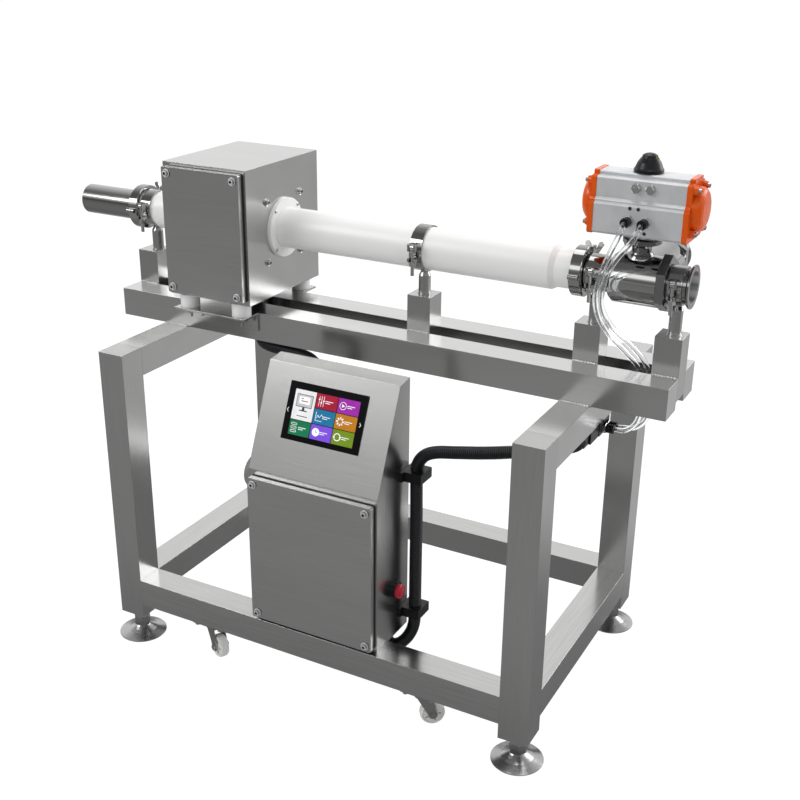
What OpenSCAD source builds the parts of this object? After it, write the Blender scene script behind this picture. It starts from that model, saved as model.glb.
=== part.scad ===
// Pipeline metal detector on its own stand.
// Product is pumped through a search head round a plastic pipe, and a three-way ball valve,
// turned by a rack and pinion air actuator, sends contaminated product out of its rear port.
// Millimetres. +X is the flow direction, +Z is up, and the operator stands on the -Y side.
// The origin is on the floor, under the middle of the machine's overall box.

/* [Stand] */
// Length of the stand over its legs
stand_len = 966; // [900:1:1060]
// Depth of the stand over its legs
stand_dep = 602; // [560:1:680]
// Height of the tops of the legs and side beams
stand_h = 667; // [640:1:720]
// Side of the square stand tube
tube_w = 60; // [56:1:64]
// Wall of the square stand tube
tube_t = 2; // [1.5:0.5:3]
// Height of the lower ends of the legs
leg_z = 58; // [56:1:64]
// Height of the underside of the bottom rails
rail_z = 90; // [88:1:100]
// Thickness of the foot plate welded into each leg
foot_plate_t = 6; // [4:1:8]

/* [Beams and posts] */
// Distance of the last post's axis past the valve stem; the long beams end with that post
last_post_reach = 70; // [66:1:76]
// Overhang of the long beams past the left legs
beam_out = 113; // [100:1:130]
// Gap between the two long beams, which the posts fill
beam_gap = 50; // [46:1:56]
// Width of each square post along the line
post_w = 50; // [40:1:54]
// Height of the post tops above the long beams
post_rise = 73; // [66:1:78]
// Depth to which the posts reach down between the long beams
post_drop = 45; // [30:1:56]
// Diameter of the round stub on each post
stub_d = 24; // [20:1:28]
// Distance from the left legs to the middle post
middle_post_x = 583; // [540:1:620]

/* [Levelling feet] */
// Diameter of each foot plate
foot_d = 102; // [80:1:110]
// Height of the cone of each foot
foot_cone_h = 20; // [16:1:24]
// Diameter of the threaded spindle
spindle_d = 20; // [14:1:20]
// Size across flats of the foot nuts
foot_nut_af = 30; // [27:1:34]
// Height of the hexagon on each foot spindle
foot_hex_h = 19.7; // [12:0.1:20]
// Length of spindle above the hexagon
spindle_len = 70; // [60:1:90]

/* [Casters] */
// Distance from each end of the stand to the caster pivots
caster_in = 232; // [150:1:280]
// Diameter of the caster wheels
wheel_d = 50; // [44:1:52]
// Width of the caster wheels
wheel_w = 20; // [16:1:22]
// Clearance of the wheels above the floor while the feet carry the stand
wheel_lift = 10; // [6:1:12]
// Trail of the wheel axle behind the pivot
caster_trail = 18; // [12:1:22]
// Length of the caster mounting plates
caster_plate_l = 74; // [64:1:90]
// Width of the caster mounting plates
caster_plate_w = 56; // [50:1:58]
// Thickness of the sheet of the caster plates and forks
caster_t = 3; // [2:0.5:4]

/* [Pipe line] */
// Height of the pipe axis above the tops of the legs
pipe_rise = 225; // [213:1:233]
// Length of the steel inlet tube up to its clamp joint
inlet_len = 154; // [150:1:160]
// Outer diameter of the steel tube
tube_d = 63.5; // [60.5:0.5:66]
// Bore of the whole product line
bore_d = 60.5; // [50:0.5:60.5]
// Length of the plastic product pipe between its two clamp joints
pipe_len = 1010; // [1004:1:1018]
// Outer diameter of the plastic product pipe
pipe_d = 83; // [80:0.5:86]
// Diameter of the pipe's necks at the clamp joints
pipe_neck_d = 72; // [68:0.5:72]
// Length of the necks of the product pipe
pipe_neck_len = 42; // [36:1:48]
// Length of the chamfer between pipe and neck
pipe_chamfer = 10; // [4:1:14]
// Distance from the inlet clamp joint to the left legs
stand_from_joint = 105.5; // [100:0.5:112]
// Diameter of the sanitary ferrules
ferrule_d = 79; // [77:0.5:80]
// Thickness of a ferrule at its rim
ferrule_rim = 3; // [2.5:0.5:4]
// Length of the tapered back of a ferrule
ferrule_taper = 3; // [2:0.5:4]
// Thickness of the seal ring between two ferrules
seal_t = 2; // [1.5:0.5:3]

/* [Clamps and pipe holders] */
// Width of the hinged pipe clamps
clamp_w = 22; // [20:1:24]
// Outer diameter of the hinged pipe clamps
clamp_d = 93; // [91:1:100]
// Width of the holder rings on the posts
holder_w = 26; // [22:1:30]
// Thickness of the holder rings
holder_t = 3; // [2:0.5:4]
// Diameter of the swing bolts
swing_bolt_d = 8; // [6:0.5:8]
// Diameter of the pins of the swing bolts and hinges
pin_d = 5; // [4:0.5:6]

/* [Search head] */
// Distance from the inlet clamp joint to the search head
head_from_joint = 161.5; // [150:0.5:180]
// Length of the search head along the pipe
head_len = 200; // [190:1:230]
// Depth of the search head
head_dep = 261; // [250:1:280]
// Height of the search head
head_h = 274; // [250:1:276]
// Wall of the head and cabinet sheet metal
sheet_t = 2; // [1.5:0.5:3]
// Width of the front cover of the head
cover_w = 186; // [178:1:188]
// Height of the front cover of the head
cover_h = 260; // [240:1:262]
// Depth of the folded rim of the covers
cover_dep = 11; // [8:1:14]
// Thickness of the sealing strip behind the covers
strip_t = 4; // [3:0.5:6]
// Diameter of the plastic feet under the head
head_foot_d = 40; // [34:1:44]
// Spacing of the plastic feet along the pipe
head_foot_gap = 130; // [110:1:140]
// Width of the brackets that carry the head feet
bracket_w = 52; // [48:1:56]
// Height of the bracket leg against the long beams
bracket_h = 38; // [30:1:45]
// Length of the head brackets
bracket_len = 176; // [170:1:190]
// Thickness of the brackets
bracket_t = 4; // [3:0.5:5]
// Diameter of the white flanges on the pipe
flange_d = 122; // [112:1:124]
// Thickness of the white flanges
flange_t = 8; // [6:1:12]
// Outer diameter of the coil former
former_d = 124; // [118:1:130]
// Width of the transmit coil
coil_w = 12; // [8:1:16]
// Distance from the transmit coil to each receive coil
coil_pitch = 46; // [34:1:54]

/* [Reject valve] */
// Distance from the valve's inlet joint to its stem
stem_reach = 106.5; // [104:0.5:112]
// Distance from the stem to the outlet and to the right end of the valve
outlet_reach = 99; // [97:1:106]
// Distance from the pipe axis to the rear port's end
reject_reach = 200; // [190:1:220]
// Outer diameter of the valve body
valve_d = 92; // [88:1:94]
// Length of the body on the inlet side of the stem
valve_left = 48.5; // [46:0.5:54]
// Length of the body on the outlet side of the stem
valve_right = 42; // [38:1:46]
// Length of the hexagon on each body end
valve_hex_len = 16; // [12:1:18]
// Size across flats of the hexagons
valve_hex_af = 90; // [86:1:94]
// Diameter of the ball
ball_d = 76; // [74:0.5:78]
// Length of the round branch before the rear port's hexagon
branch_len = 138; // [120:1:144]
// Diameter of the valve stem
stem_d = 16; // [14:1:18]

/* [Actuator] */
// Overall length of the actuator over its caps
actuator_len = 216; // [210:1:230]
// Length of the aluminium body
actuator_body = 159; // [156:1:164]
// Height of the actuator's underside above the pipe axis
actuator_rise = 85; // [80:1:90]
// Height of the aluminium body
actuator_h = 106; // [104:1:112]
// Depth of the lower part of the body
actuator_dep = 92; // [88:1:98]
// Depth of the upper part of the body
actuator_upper = 74; // [74:1:82]
// Depth of the ridge on top of the body
actuator_ridge = 48; // [44:1:60]
// Diameter of the piston bore
piston_bore = 72; // [68:0.5:73]
// Thickness of the caps' flanges
cap_t = 9.5; // [8:0.5:12]
// Module of the pinion teeth
gear_module = 2; // [2:1:2]
// Number of pinion teeth
pinion_teeth = 16; // [16:4:16]
// Play between the teeth of rack and pinion
tooth_play = 0.3; // [0.2:0.05:0.4]
// Diameter of the pinion shaft
pinion_shaft_d = 24; // [20:1:25]
// Diameter of the position indicator
indicator_d = 52; // [44:1:56]
// Height of the position indicator
indicator_h = 33; // [28:1:38]

/* [Control cabinet] */
// Distance from the left legs to the cabinet
cabinet_x = 349; // [330:1:370]
// Width of the cabinet
cabinet_w = 289; // [286:1:300]
// Depth of the cabinet
cabinet_dep = 125; // [120:1:135]
// Setback of the cabinet front from the stand's front
cabinet_back = 14; // [14:1:20]
// Height of the bend in the cabinet front above the floor
bend_z = 483; // [481:1:500]
// Height of the top front edge above the floor
cabinet_top = 683; // [675:1:690]
// Rise of the cabinet top towards its back
top_rise = 4; // [0:1:8]
// Depth of the cabinet top
top_dep = 38; // [30:1:44]
// Width of the cabinet door
door_w = 278; // [270:1:280]
// Height of the cabinet door
door_h = 316; // [300:1:318]
// Width of the touch screen
screen_w = 172; // [165:1:180]
// Height of the touch screen
screen_h = 114; // [104:1:120]
// Distance up the sloped front from the bend to the screen's middle
screen_up = 130; // [120:1:140]
// Height of the stop button above the floor
button_z = 262; // [240:1:300]
// Distance of the stop button from the cabinet front
button_y = 61; // [50:1:66]
// Diameter of the stop button
button_d = 29; // [24:1:30]
// Travel of the stop button
button_travel = 4; // [3:0.5:4.5]
// Diameter of the alarm sounder
sounder_d = 68; // [60:1:72]
// Height of the alarm sounder above the floor
sounder_z = 456; // [440:1:466]

/* [Air and cable runs] */
// Outer diameter of the clear air tubes
air_tube_d = 10; // [8:0.5:10]
// Outer diameter of the ribbed cable conduits
conduit_d = 25; // [22:0.5:26]
// Height of the lower conduit clamp above the floor
lower_clamp_z = 196; // [190:1:205]
// Height of the upper conduit clamp above the floor
upper_clamp_z = 496; // [490:1:505]

/* [Hidden] */
$fn = 64;

// Clearances
gap = 0.3;
running = 0.05;
eps = 0.01;
bore_r = bore_d / 2;

// Stations along the line, from the inlet end to the actuator's right end
line_len = inlet_len + pipe_len + stem_reach + actuator_len / 2;
inlet_x = -line_len / 2;
joint_a_x = inlet_x + inlet_len;
joint_b_x = joint_a_x + pipe_len;
stem_x = joint_b_x + stem_reach;

// Stand corners
stand_x = joint_a_x + stand_from_joint;
stand_end = stand_x + stand_len;
stand_y = -stand_dep / 2;
rail_top = rail_z + tube_w;
beam_x = stand_x - beam_out;
outlet_post_x = stem_x + last_post_reach;
beam_end = outlet_post_x + post_w / 2;
beam_len = beam_end - beam_x;
pipe_z = stand_h + pipe_rise;
beam_top = stand_h + tube_w;
beam_face = beam_gap / 2 + tube_w;
post_top = beam_top + post_rise;
vent_r = 4;

// Feet: the nut under the leg ends where the hexagon on the spindle begins
foot_r = foot_d / 2;
foot_hex_r = foot_nut_af / 2 / cos(30);
foot_nut_z = foot_cone_h + foot_hex_h + gap;
spindle_r = spindle_d / 2;
leg_mid = tube_w / 2;

// Casters
wheel_r = wheel_d / 2;
axle_z = wheel_lift + wheel_r;
axle_r = 4;
kingpin_r = 5;
crown_z = rail_z - 4 * caster_t;
crown_r = 19;
race_r = 20;
wheel_bore_r = axle_r + running;

// Corners of the stand, with the way each caster trails
function leg_centre(right, rear) = [right ? stand_end - leg_mid : stand_x + leg_mid,
    rear ? -stand_y - leg_mid : stand_y + leg_mid];
function caster_centre(right, rear) = [right ? stand_end - caster_in : stand_x + caster_in,
    rear ? -stand_y - leg_mid : stand_y + leg_mid];
front_left_turn = -25;
front_right_turn = 35;
rear_left_turn = 200;
rear_right_turn = -80;

// Ferrules and clamps
ferrule_r = ferrule_d / 2;
ferrule_back_r = ferrule_r - 1.15 * ferrule_taper;
tube_r = tube_d / 2;
pipe_r = pipe_d / 2;
clamp_r = clamp_d / 2;
bolt_r = swing_bolt_d / 2;
pin_r = pin_d / 2;
ear_half = bolt_r + 4.3;
slot_half = bolt_r + 0.5;
pivot_y = clamp_r + 12;
pivot_z = -11;
ear_top_r = 27;
knuckle_r = pin_r + 2.5;

// Holders: posts at the inlet, the middle, the valve's inlet neck and its outlet neck
inlet_post_x = beam_x + post_w / 2;
mid_post_x = stand_x + middle_post_x;
valve_post_x = stem_x - (stem_reach + valve_left) / 2 - 3.5;
inlet_ring_x = inlet_post_x + 10.5;
valve_ring_x = valve_post_x + 5;
outlet_ring_x = outlet_post_x + 3;
holder_stations = [[inlet_post_x, inlet_ring_x, pipe_neck_d / 2], [mid_post_x, mid_post_x, pipe_r],
    [valve_post_x, valve_ring_x, tube_r], [outlet_post_x, outlet_ring_x, tube_r]];
stub_r = stub_d / 2;

// Search head
head_x = joint_a_x + head_from_joint;
head_mid = head_x + head_len / 2;
head_z = pipe_z - head_h / 2;
head_y = -head_dep / 2;
cover_y = head_y - strip_t;
screw_in = 13;
weld_nut = 8;
cover_lap = 26;
screw_r = 3;
head_foot_y = beam_face + bracket_w / 2 + 1;
head_cable_x = head_mid + 28.75;
bracket_bolt_r = 3;
former_r = former_d / 2;
former_hub_r = pipe_r + 4;
groove = 6;
plate_half = 75;
former_len = head_len - 2 * sheet_t - 2 * gap;

// Valve
valve_r = valve_d / 2;
ball_r = ball_d / 2;
cavity_r = ball_r + gap;
seat_relief = 3;
seat_end = ball_r + 2;
hex_r = valve_hex_af / 2 / cos(30);
stem_r = stem_d / 2;
bonnet_r = 18.5;
bonnet_top = valve_r + 6;
pad_t = 8;
pad_x = 28;
pad_y = 24;
stem_square = 11;

// Actuator
act_z = pipe_z + actuator_rise;
act_top = act_z + actuator_h;
piston_z = act_z + 52;
piston_r = piston_bore / 2;
pitch_r = gear_module * pinion_teeth / 2;
base_r = pitch_r * cos(20);
tip_r = pitch_r + gear_module - 0.1;
root_r = pitch_r - 1.3 * gear_module;
tooth_pitch = PI * gear_module;
shaft_r = pinion_shaft_d / 2;
piston_face = 34;
piston_t = 16;
rack_tip = 31;
rack_back = 28;
rack_h = 20;
fitting_z = pipe_z + 113.5;
fitting_dx = 15;
cap_reach = (actuator_len - actuator_body) / 2;
port_r = 4;
port_depth = 24;

// Cabinet
cab_x = stand_x + cabinet_x;
cab_end = cab_x + cabinet_w;
cab_mid = cab_x + cabinet_w / 2;
cab_y = stand_y + cabinet_back;
cab_rear = cab_y + cabinet_dep;
top_y = cab_rear - top_dep;
slope_run = top_y - cab_y;
slope_rise = cabinet_top - bend_z;
tilt = atan2(slope_run, slope_rise);
door_z = rail_top + 5;
door_mid_z = door_z + door_h / 2;
door_y = cab_y - strip_t;
button_wall = cab_end;
collar_r = button_d / 2 + 3;
collar_h = 12;
sounder_y = cab_y + 43;
gland_r = 11;
power_entry = [cab_end - 32.25, cab_y + 97];
head_entry = [cab_x + 40.75, cabinet_top - 91];
conduit_x = cab_end + 23.75;
conduit_y = cab_rear - 11;

// Solenoid valve under the right side beam
solenoid_x = stand_end - 18;
solenoid_z = stand_h - tube_w - 4;
port_z = solenoid_z - 18;
solenoid_y = -74.6;
front_port_y = 20;
rear_port_y = 36;

// Routes of the air tubes, chosen by hand along the real runs
front_tube_route = [[566.2, -60, 1005.5], [566.2, -69, 1005.4], [566, -78, 1000], [563, -82, 986],
    [552, -83, 959], [542, -82, 933], [534, -80, 905], [528, -76, 876], [528, -68, 848],
    [536, -54, 816], [553, -36, 786], [574, -18, 758], [592, -4, 732], [601, 6, 700],
    [604, 14, 664], [601, 20, 632], [592, 21, 604], [576, 20, 589], [558, 20, 585.2],
    [546, 20, 585]];
rear_tube_route = [[596.2, -60, 1005.5], [596.2, -69, 1005.4], [595.5, -79, 1000], [590, -84, 985],
    [574, -86, 962], [560, -88, 940], [549, -88, 914], [542, -84, 884], [540, -76, 857],
    [547, -60, 828], [562, -41, 800], [584, -21, 773], [604, -7, 746], [616, 2, 716],
    [621, 10, 684], [620, 18, 656], [615, 29, 630], [604, 35, 604], [586, 36, 590], [560, 36, 585.2],
    [546, 36, 585]];
// Each conduit's points are steps from the place that carries that stretch
function steps(origin, offsets) = [for (o = offsets) origin + o];
power_route = concat(
    steps([power_entry[0], power_entry[1], rail_top], [[0, 0, -4], [0, 0, -23], [3, 1, -36],
        [12, 3, -44.5], [24, 6, -42], [36, 9, -32], [46, 13, -17]]),
    steps([conduit_x, conduit_y, rail_top], [[-3, -1, 2], [0, 0, 26], [0, 0, 70], [0, 0, 150],
        [0, 0, 250]]),
    steps([conduit_x, conduit_y, upper_clamp_z], [[0, 0, 12], [4, 0, 28], [16, 1, 43], [36, 2, 53],
        [78, 3, 62], [138, 5, 74]]),
    steps([solenoid_x - 0.25, solenoid_y, solenoid_z - 15], [[-88, -83.4, -6], [-44, -63.4, 0],
        [-19, -40.4, 0], [-4, -22.4, 0], [0, -10.4, 0], [0, 0, 0]]));
head_route = concat(
    steps([head_cable_x, 0, head_z], [[0, 0, -5], [0, 0, -27]]),
    steps([head_cable_x, 0, stand_h], [[0, 0, 39], [0, 0, 17], [1, -1, -1], [8, -8, -16],
        [27, -27, -24], [55, -47, -22], [85, -60, -19], [119, -69, -17]]),
    steps([head_entry[0], cab_rear, head_entry[1]], [[-55, 91, 57], [-30, 91, 51], [-11, 86, 38],
        [-2, 74, 20], [0, 54, 6], [0, 32, 0], [0, 6, 0]]));

// Small helpers: a cylinder and a cube laid out along a chosen axis
module x_rod(r, l) {
    rotate([0, 90, 0]) cylinder(r = r, h = l, center = true);
}
module y_rod(r, l) {
    rotate([90, 0, 0]) cylinder(r = r, h = l, center = true);
}
module block(lo, hi) {
    translate(lo) cube(hi - lo);
}
module hexagon(r, h) {
    cylinder(r = r, h = h, $fn = 6);
}

// Square tube along X, Y or Z from one corner, open at its ends
module square_tube(size, axis) {
    inner = [for (i = [0 : 2]) size[i] - (i == axis ? -2 : 2 * tube_t)];
    start = [for (i = [0 : 2]) i == axis ? -1 : tube_t];
    difference() {
        cube(size);
        translate(start) cube(inner);
    }
}

// Flat plate with round corners in the XZ plane, centred, from y = 0 towards -Y
module round_plate(w, h, r) {
    square([w - 2 * r, h], center = true);
    square([w, h - 2 * r], center = true);
    for (x = [-1, 1], y = [-1, 1]) translate([x * (w / 2 - r), y * (h / 2 - r)]) circle(r = r);
}

// Stand
module leg(right, rear) {
    centre = leg_centre(right, rear);
    leg_h = stand_h - leg_z;
    translate([centre[0], centre[1], leg_z]) difference() {
        translate([-leg_mid, -leg_mid, 0]) cube([tube_w, tube_w, leg_h]);
        translate([tube_t - leg_mid, tube_t - leg_mid, foot_plate_t])
            cube([tube_w - 2 * tube_t, tube_w - 2 * tube_t, leg_h - foot_plate_t - tube_t]);
        translate([0, 0, -1]) cylinder(r = spindle_r + running, h = foot_plate_t + 2);
    }
    translate([centre[0], centre[1], foot_nut_z]) difference() {
        hexagon(foot_hex_r, leg_z - foot_nut_z);
        translate([0, 0, -1]) cylinder(r = spindle_r + running, h = leg_z - foot_nut_z + 2);
    }
}
module stand_legs() {
    color("silver") for (right = [false, true], rear = [false, true]) leg(right, rear);
}
module caster_plate(right, rear) {
    centre = caster_centre(right, rear);
    translate([centre[0], centre[1], rail_z - caster_t]) {
        translate([-caster_plate_l / 2, -caster_plate_w / 2, 0])
            cube([caster_plate_l, caster_plate_w, caster_t]);
        translate([0, 0, -2 * caster_t]) cylinder(r = race_r, h = 2 * caster_t + eps);
        translate([0, 0, -4 * caster_t]) cylinder(r = kingpin_r, h = 4 * caster_t);
        translate([0, 0, -5 * caster_t]) cylinder(r = kingpin_r + 3, h = caster_t);
    }
}
module stand_rails() {
    rail_len = stand_len - 2 * tube_w;
    cross_len = stand_dep - 2 * tube_w;
    color("silver") {
        for (y = [stand_y, -stand_y - tube_w]) translate([stand_x + tube_w, y, rail_z])
            square_tube([rail_len, tube_w, tube_w], 0);
        for (x = [stand_x, stand_end - tube_w]) translate([x, stand_y + tube_w, rail_z])
            square_tube([tube_w, cross_len, tube_w], 1);
        for (right = [false, true], rear = [false, true]) caster_plate(right, rear);
    }
}
module long_beam(y) {
    translate([beam_x, y, stand_h]) difference() {
        cube([beam_len, tube_w, tube_w]);
        translate([tube_t, tube_t, tube_t])
            cube([beam_len - 2 * tube_t, tube_w - 2 * tube_t, tube_w - 2 * tube_t]);
        for (x = [beam_out + leg_mid, beam_out + stand_len - leg_mid])
            translate([x, tube_w / 2, -1]) cylinder(r = vent_r, h = tube_t + 2);
    }
}
module stand_beams() {
    cross_len = stand_dep - 2 * tube_w;
    color("silver") {
        for (x = [stand_x, stand_end - tube_w])
            translate([x, stand_y + tube_w, stand_h - tube_w])
                square_tube([tube_w, cross_len, tube_w], 1);
        long_beam(-beam_face);
        long_beam(beam_gap / 2);
        translate([stand_end - 2 * tube_w + 20, beam_face, beam_top - bracket_h])
            rear_angle(bracket_h, 35);
    }
}
module rear_angle(w, l) {
    cube([l, bracket_t, w]);
    translate([0, 0, w - bracket_t]) cube([l, w, bracket_t]);
}

// Everything above or below the split of a two-part ring
module half_space(upper) {
    big = 4 * clamp_d;
    translate([-big / 2, -big / 2, upper ? gap / 2 : -big - gap / 2]) cube(big);
}

// Holder rings on the posts: hinge at the rear, swing bolt at the front
module holder_half(r, upper) {
    in_r = r + gap;
    out_r = in_r + holder_t;
    hinge_y = out_r + knuckle_r - 1.5;
    ear_y = -(out_r + 9);
    difference() {
        union() {
            intersection() {
                x_rod(out_r, holder_w);
                half_space(upper);
            }
            if (upper) {
                block([-ear_half, ear_y - 7, gap / 2 + 5], [ear_half, -in_r, 19]);
            } else {
                block([-ear_half, ear_y - 7, -15], [ear_half, -in_r, -9]);
            }
            for (x = [-1, 1]) if (upper)
                translate([x * (ear_half - 2), ear_y, 12]) x_rod(7, 4);
        }
        x_rod(in_r, holder_w + 2);
        if (upper) {
            for (x = [-1, 1]) translate([x * holder_w / 3, hinge_y, 0])
                x_rod(knuckle_r + gap, holder_w / 3);
            translate([0, hinge_y, 0]) x_rod(pin_r + running, holder_w);
        } else {
            translate([0, hinge_y, 0]) x_rod(knuckle_r + gap, holder_w / 3);
        }
        block([-slot_half, ear_y - 9, -20], [slot_half, ear_y + 7, 25]);
    }
    translate([0, hinge_y, 0]) if (upper) {
        difference() {
            x_rod(knuckle_r, holder_w / 3 - 2 * gap);
            x_rod(pin_r + running, holder_w);
            translate([0, -hinge_y, 0]) x_rod(in_r, holder_w);
        }
    } else {
        for (x = [-1, 1]) translate([x * holder_w / 3, 0, 0]) x_rod(knuckle_r, holder_w / 3);
        x_rod(pin_r, holder_w);
    }
    if (upper) translate([0, ear_y, 12]) x_rod(pin_r, 2 * ear_half);
}
module pipe_post(x, ring_x, r) {
    shoulder = pipe_z - r - gap - holder_t;
    translate([x, 0, 0]) {
        difference() {
            block([-post_w / 2, -beam_gap / 2, beam_top - post_drop],
                [post_w / 2, beam_gap / 2, post_top]);
            block([tube_t - post_w / 2, tube_t - beam_gap / 2, beam_top - post_drop - 1],
                [post_w / 2 - tube_t, beam_gap / 2 - tube_t, post_top - tube_t]);
        }
    }
    translate([ring_x, 0, 0]) {
        translate([0, 0, post_top]) cylinder(r = stub_r + 1.5, h = 2);
        translate([0, 0, post_top]) cylinder(r = stub_r, h = shoulder - 10 - post_top);
        translate([0, 0, shoulder - 10]) cylinder(r1 = stub_r, r2 = stub_r - 4, h = 8);
        difference() {
            translate([0, 0, shoulder - 2]) cylinder(r = stub_r - 4, h = 8);
            translate([0, 0, pipe_z]) x_rod(r + gap + 1, holder_w);
        }
        translate([0, 0, pipe_z]) holder_half(r, false);
    }
}
module pipe_posts() {
    color("silver") for (s = holder_stations) pipe_post(s[0], s[1], s[2]);
}
module holder_caps() {
    color("gainsboro") for (s = holder_stations)
        translate([s[1], 0, pipe_z]) holder_half(s[2], true);
}
module holder_bolt(r) {
    ear_y = -(r + gap + holder_t + 9);
    translate([0, ear_y, 0]) {
        difference() {
            union() {
                translate([0, 0, 12]) x_rod(bolt_r + 2, 2 * slot_half - 2 * gap);
                translate([0, 0, -43]) cylinder(r = bolt_r - 0.5, h = 52);
            }
            translate([0, 0, 12]) x_rod(pin_r + running, 20);
        }
        difference() {
            union() {
                translate([0, 0, -17]) cylinder(r = bolt_r + 4, h = 1.7);
                translate([0, 0, -24]) hexagon(bolt_r + 3.5, 7 + eps);
            }
            translate([0, 0, -30]) cylinder(r = bolt_r - 0.5 + running, h = 20);
        }
    }
}
module holder_bolts() {
    color("gainsboro") for (s = holder_stations) translate([s[1], 0, pipe_z]) holder_bolt(s[2]);
}

// Sanitary ferrule at the end of a tube that runs towards +X from its sealing face at x = 0
module ferrule() {
    start = seal_t / 2;
    rotate([0, 90, 0]) {
        translate([0, 0, start]) cylinder(r = ferrule_r, h = ferrule_rim);
        translate([0, 0, start + ferrule_rim])
            cylinder(r1 = ferrule_r, r2 = ferrule_back_r, h = ferrule_taper);
    }
}

// Hinged clamp over two ferrules: hinge at the front, swing bolt and wing nut at the rear
module clamp_ring(upper) {
    half = clamp_w / 2;
    flat = seal_t / 2 + ferrule_rim + 0.35;
    lip_r = ferrule_back_r + 0.5;
    lip = flat + ferrule_taper + 0.1;
    hinge_y = -(clamp_r + knuckle_r - 1.5);
    difference() {
        union() {
            intersection() {
                rotate([0, 90, 0]) rotate_extrude() polygon([[lip_r, -half], [clamp_r - 1, -half],
                    [clamp_r, 1 - half], [clamp_r, half - 1], [clamp_r - 1, half], [lip_r, half],
                    [lip_r, lip], [ferrule_r + gap, flat], [ferrule_r + gap, -flat],
                    [lip_r, -lip]]);
                half_space(upper);
            }
            if (upper) intersection() {
                block([-ear_half, clamp_r - 3, 1.5], [ear_half, pivot_y + 7, 30]);
                translate([0, pivot_y, pivot_z]) x_rod(ear_top_r, 2 * ear_half + 2);
            } else {
                block([-ear_half, clamp_r - 3, pivot_z - 5], [ear_half, pivot_y, -1.5]);
                translate([0, pivot_y, pivot_z]) x_rod(6, 2 * ear_half);
            }
        }
        block([-slot_half, clamp_r + 1.5, -40], [slot_half, pivot_y + 20, 40]);
        for (x = upper ? [-1, 1] : [0]) translate([x * clamp_w / 3, hinge_y, 0])
            x_rod(knuckle_r + gap, clamp_w / 3 + 2 * gap);
        translate([0, hinge_y, 0]) x_rod(pin_r + running, clamp_w + 2);
    }
    translate([0, hinge_y, 0]) if (upper) {
        difference() {
            x_rod(knuckle_r, clamp_w / 3 - 2 * gap);
            x_rod(pin_r + running, clamp_w);
        }
    } else {
        for (side = [-1, 1]) translate([side * (clamp_w / 3 - 0.75), 0, 0])
            x_rod(knuckle_r, clamp_w / 3 - 1.5);
        x_rod(pin_r, clamp_w - 2);
    }
    if (!upper) translate([0, pivot_y, pivot_z]) x_rod(pin_r, 2 * ear_half - 2);
}
module clamp_halves() {
    color("gainsboro") for (x = [joint_a_x, joint_b_x], upper = [false, true])
        translate([x, 0, pipe_z]) clamp_ring(upper);
}
module swing_bolt(x) {
    color("silver") translate([x, pivot_y, pipe_z + pivot_z]) difference() {
        union() {
            x_rod(bolt_r + 2.5, 2 * slot_half - 2 * gap);
            cylinder(r = bolt_r, h = 46);
        }
        x_rod(pin_r + running, 20);
    }
}
module inlet_bolt() {
    swing_bolt(joint_a_x);
}
module outlet_bolt() {
    swing_bolt(joint_b_x);
}
module wing_nut(x) {
    base = ear_top_r + gap;
    color("silver") translate([x, pivot_y, pipe_z + pivot_z + base]) difference() {
        union() {
            cylinder(r = bolt_r + 5, h = 4);
            cylinder(r = bolt_r + 3.5, h = 12);
            for (side = [0, 180]) rotate([90, 0, side]) linear_extrude(4, center = true) {
                translate([13, 21]) circle(r = 5);
                polygon([[bolt_r + 0.5, 1], [bolt_r + 3, 1], [17.6, 19], [14.5, 25.5], [8.5, 23],
                    [bolt_r + 0.5, 12]]);
            }
        }
        translate([0, 0, -1]) cylinder(r = bolt_r + running, h = 20);
    }
}
module inlet_wing_nut() {
    wing_nut(joint_a_x);
}
module outlet_wing_nut() {
    wing_nut(joint_b_x);
}

// Levelling foot: cupped plate, hexagon and threaded spindle in one
module levelling_foot(right, rear) {
    centre = leg_centre(right, rear);
    top_r = spindle_r + 6;
    color("darkgray") translate([centre[0], centre[1], 0]) {
        rotate_extrude() polygon([[0, 0], [foot_r - 1, 0], [foot_r, 1], [foot_r, 2.5],
            [foot_r - 3, 3.6], [0.8 * foot_r, 6.2], [0.62 * foot_r, 9.8], [0.47 * foot_r, 14],
            [top_r + 2, 0.9 * foot_cone_h], [top_r, foot_cone_h], [0, foot_cone_h]]);
        translate([0, 0, foot_cone_h - eps]) hexagon(foot_hex_r, foot_hex_h + eps);
        translate([0, 0, foot_cone_h]) cylinder(r = spindle_r, h = foot_hex_h + spindle_len);
    }
}
module front_left_foot() {
    levelling_foot(false, false);
}
module front_right_foot() {
    levelling_foot(true, false);
}
module rear_left_foot() {
    levelling_foot(false, true);
}
module rear_right_foot() {
    levelling_foot(true, true);
}

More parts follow.
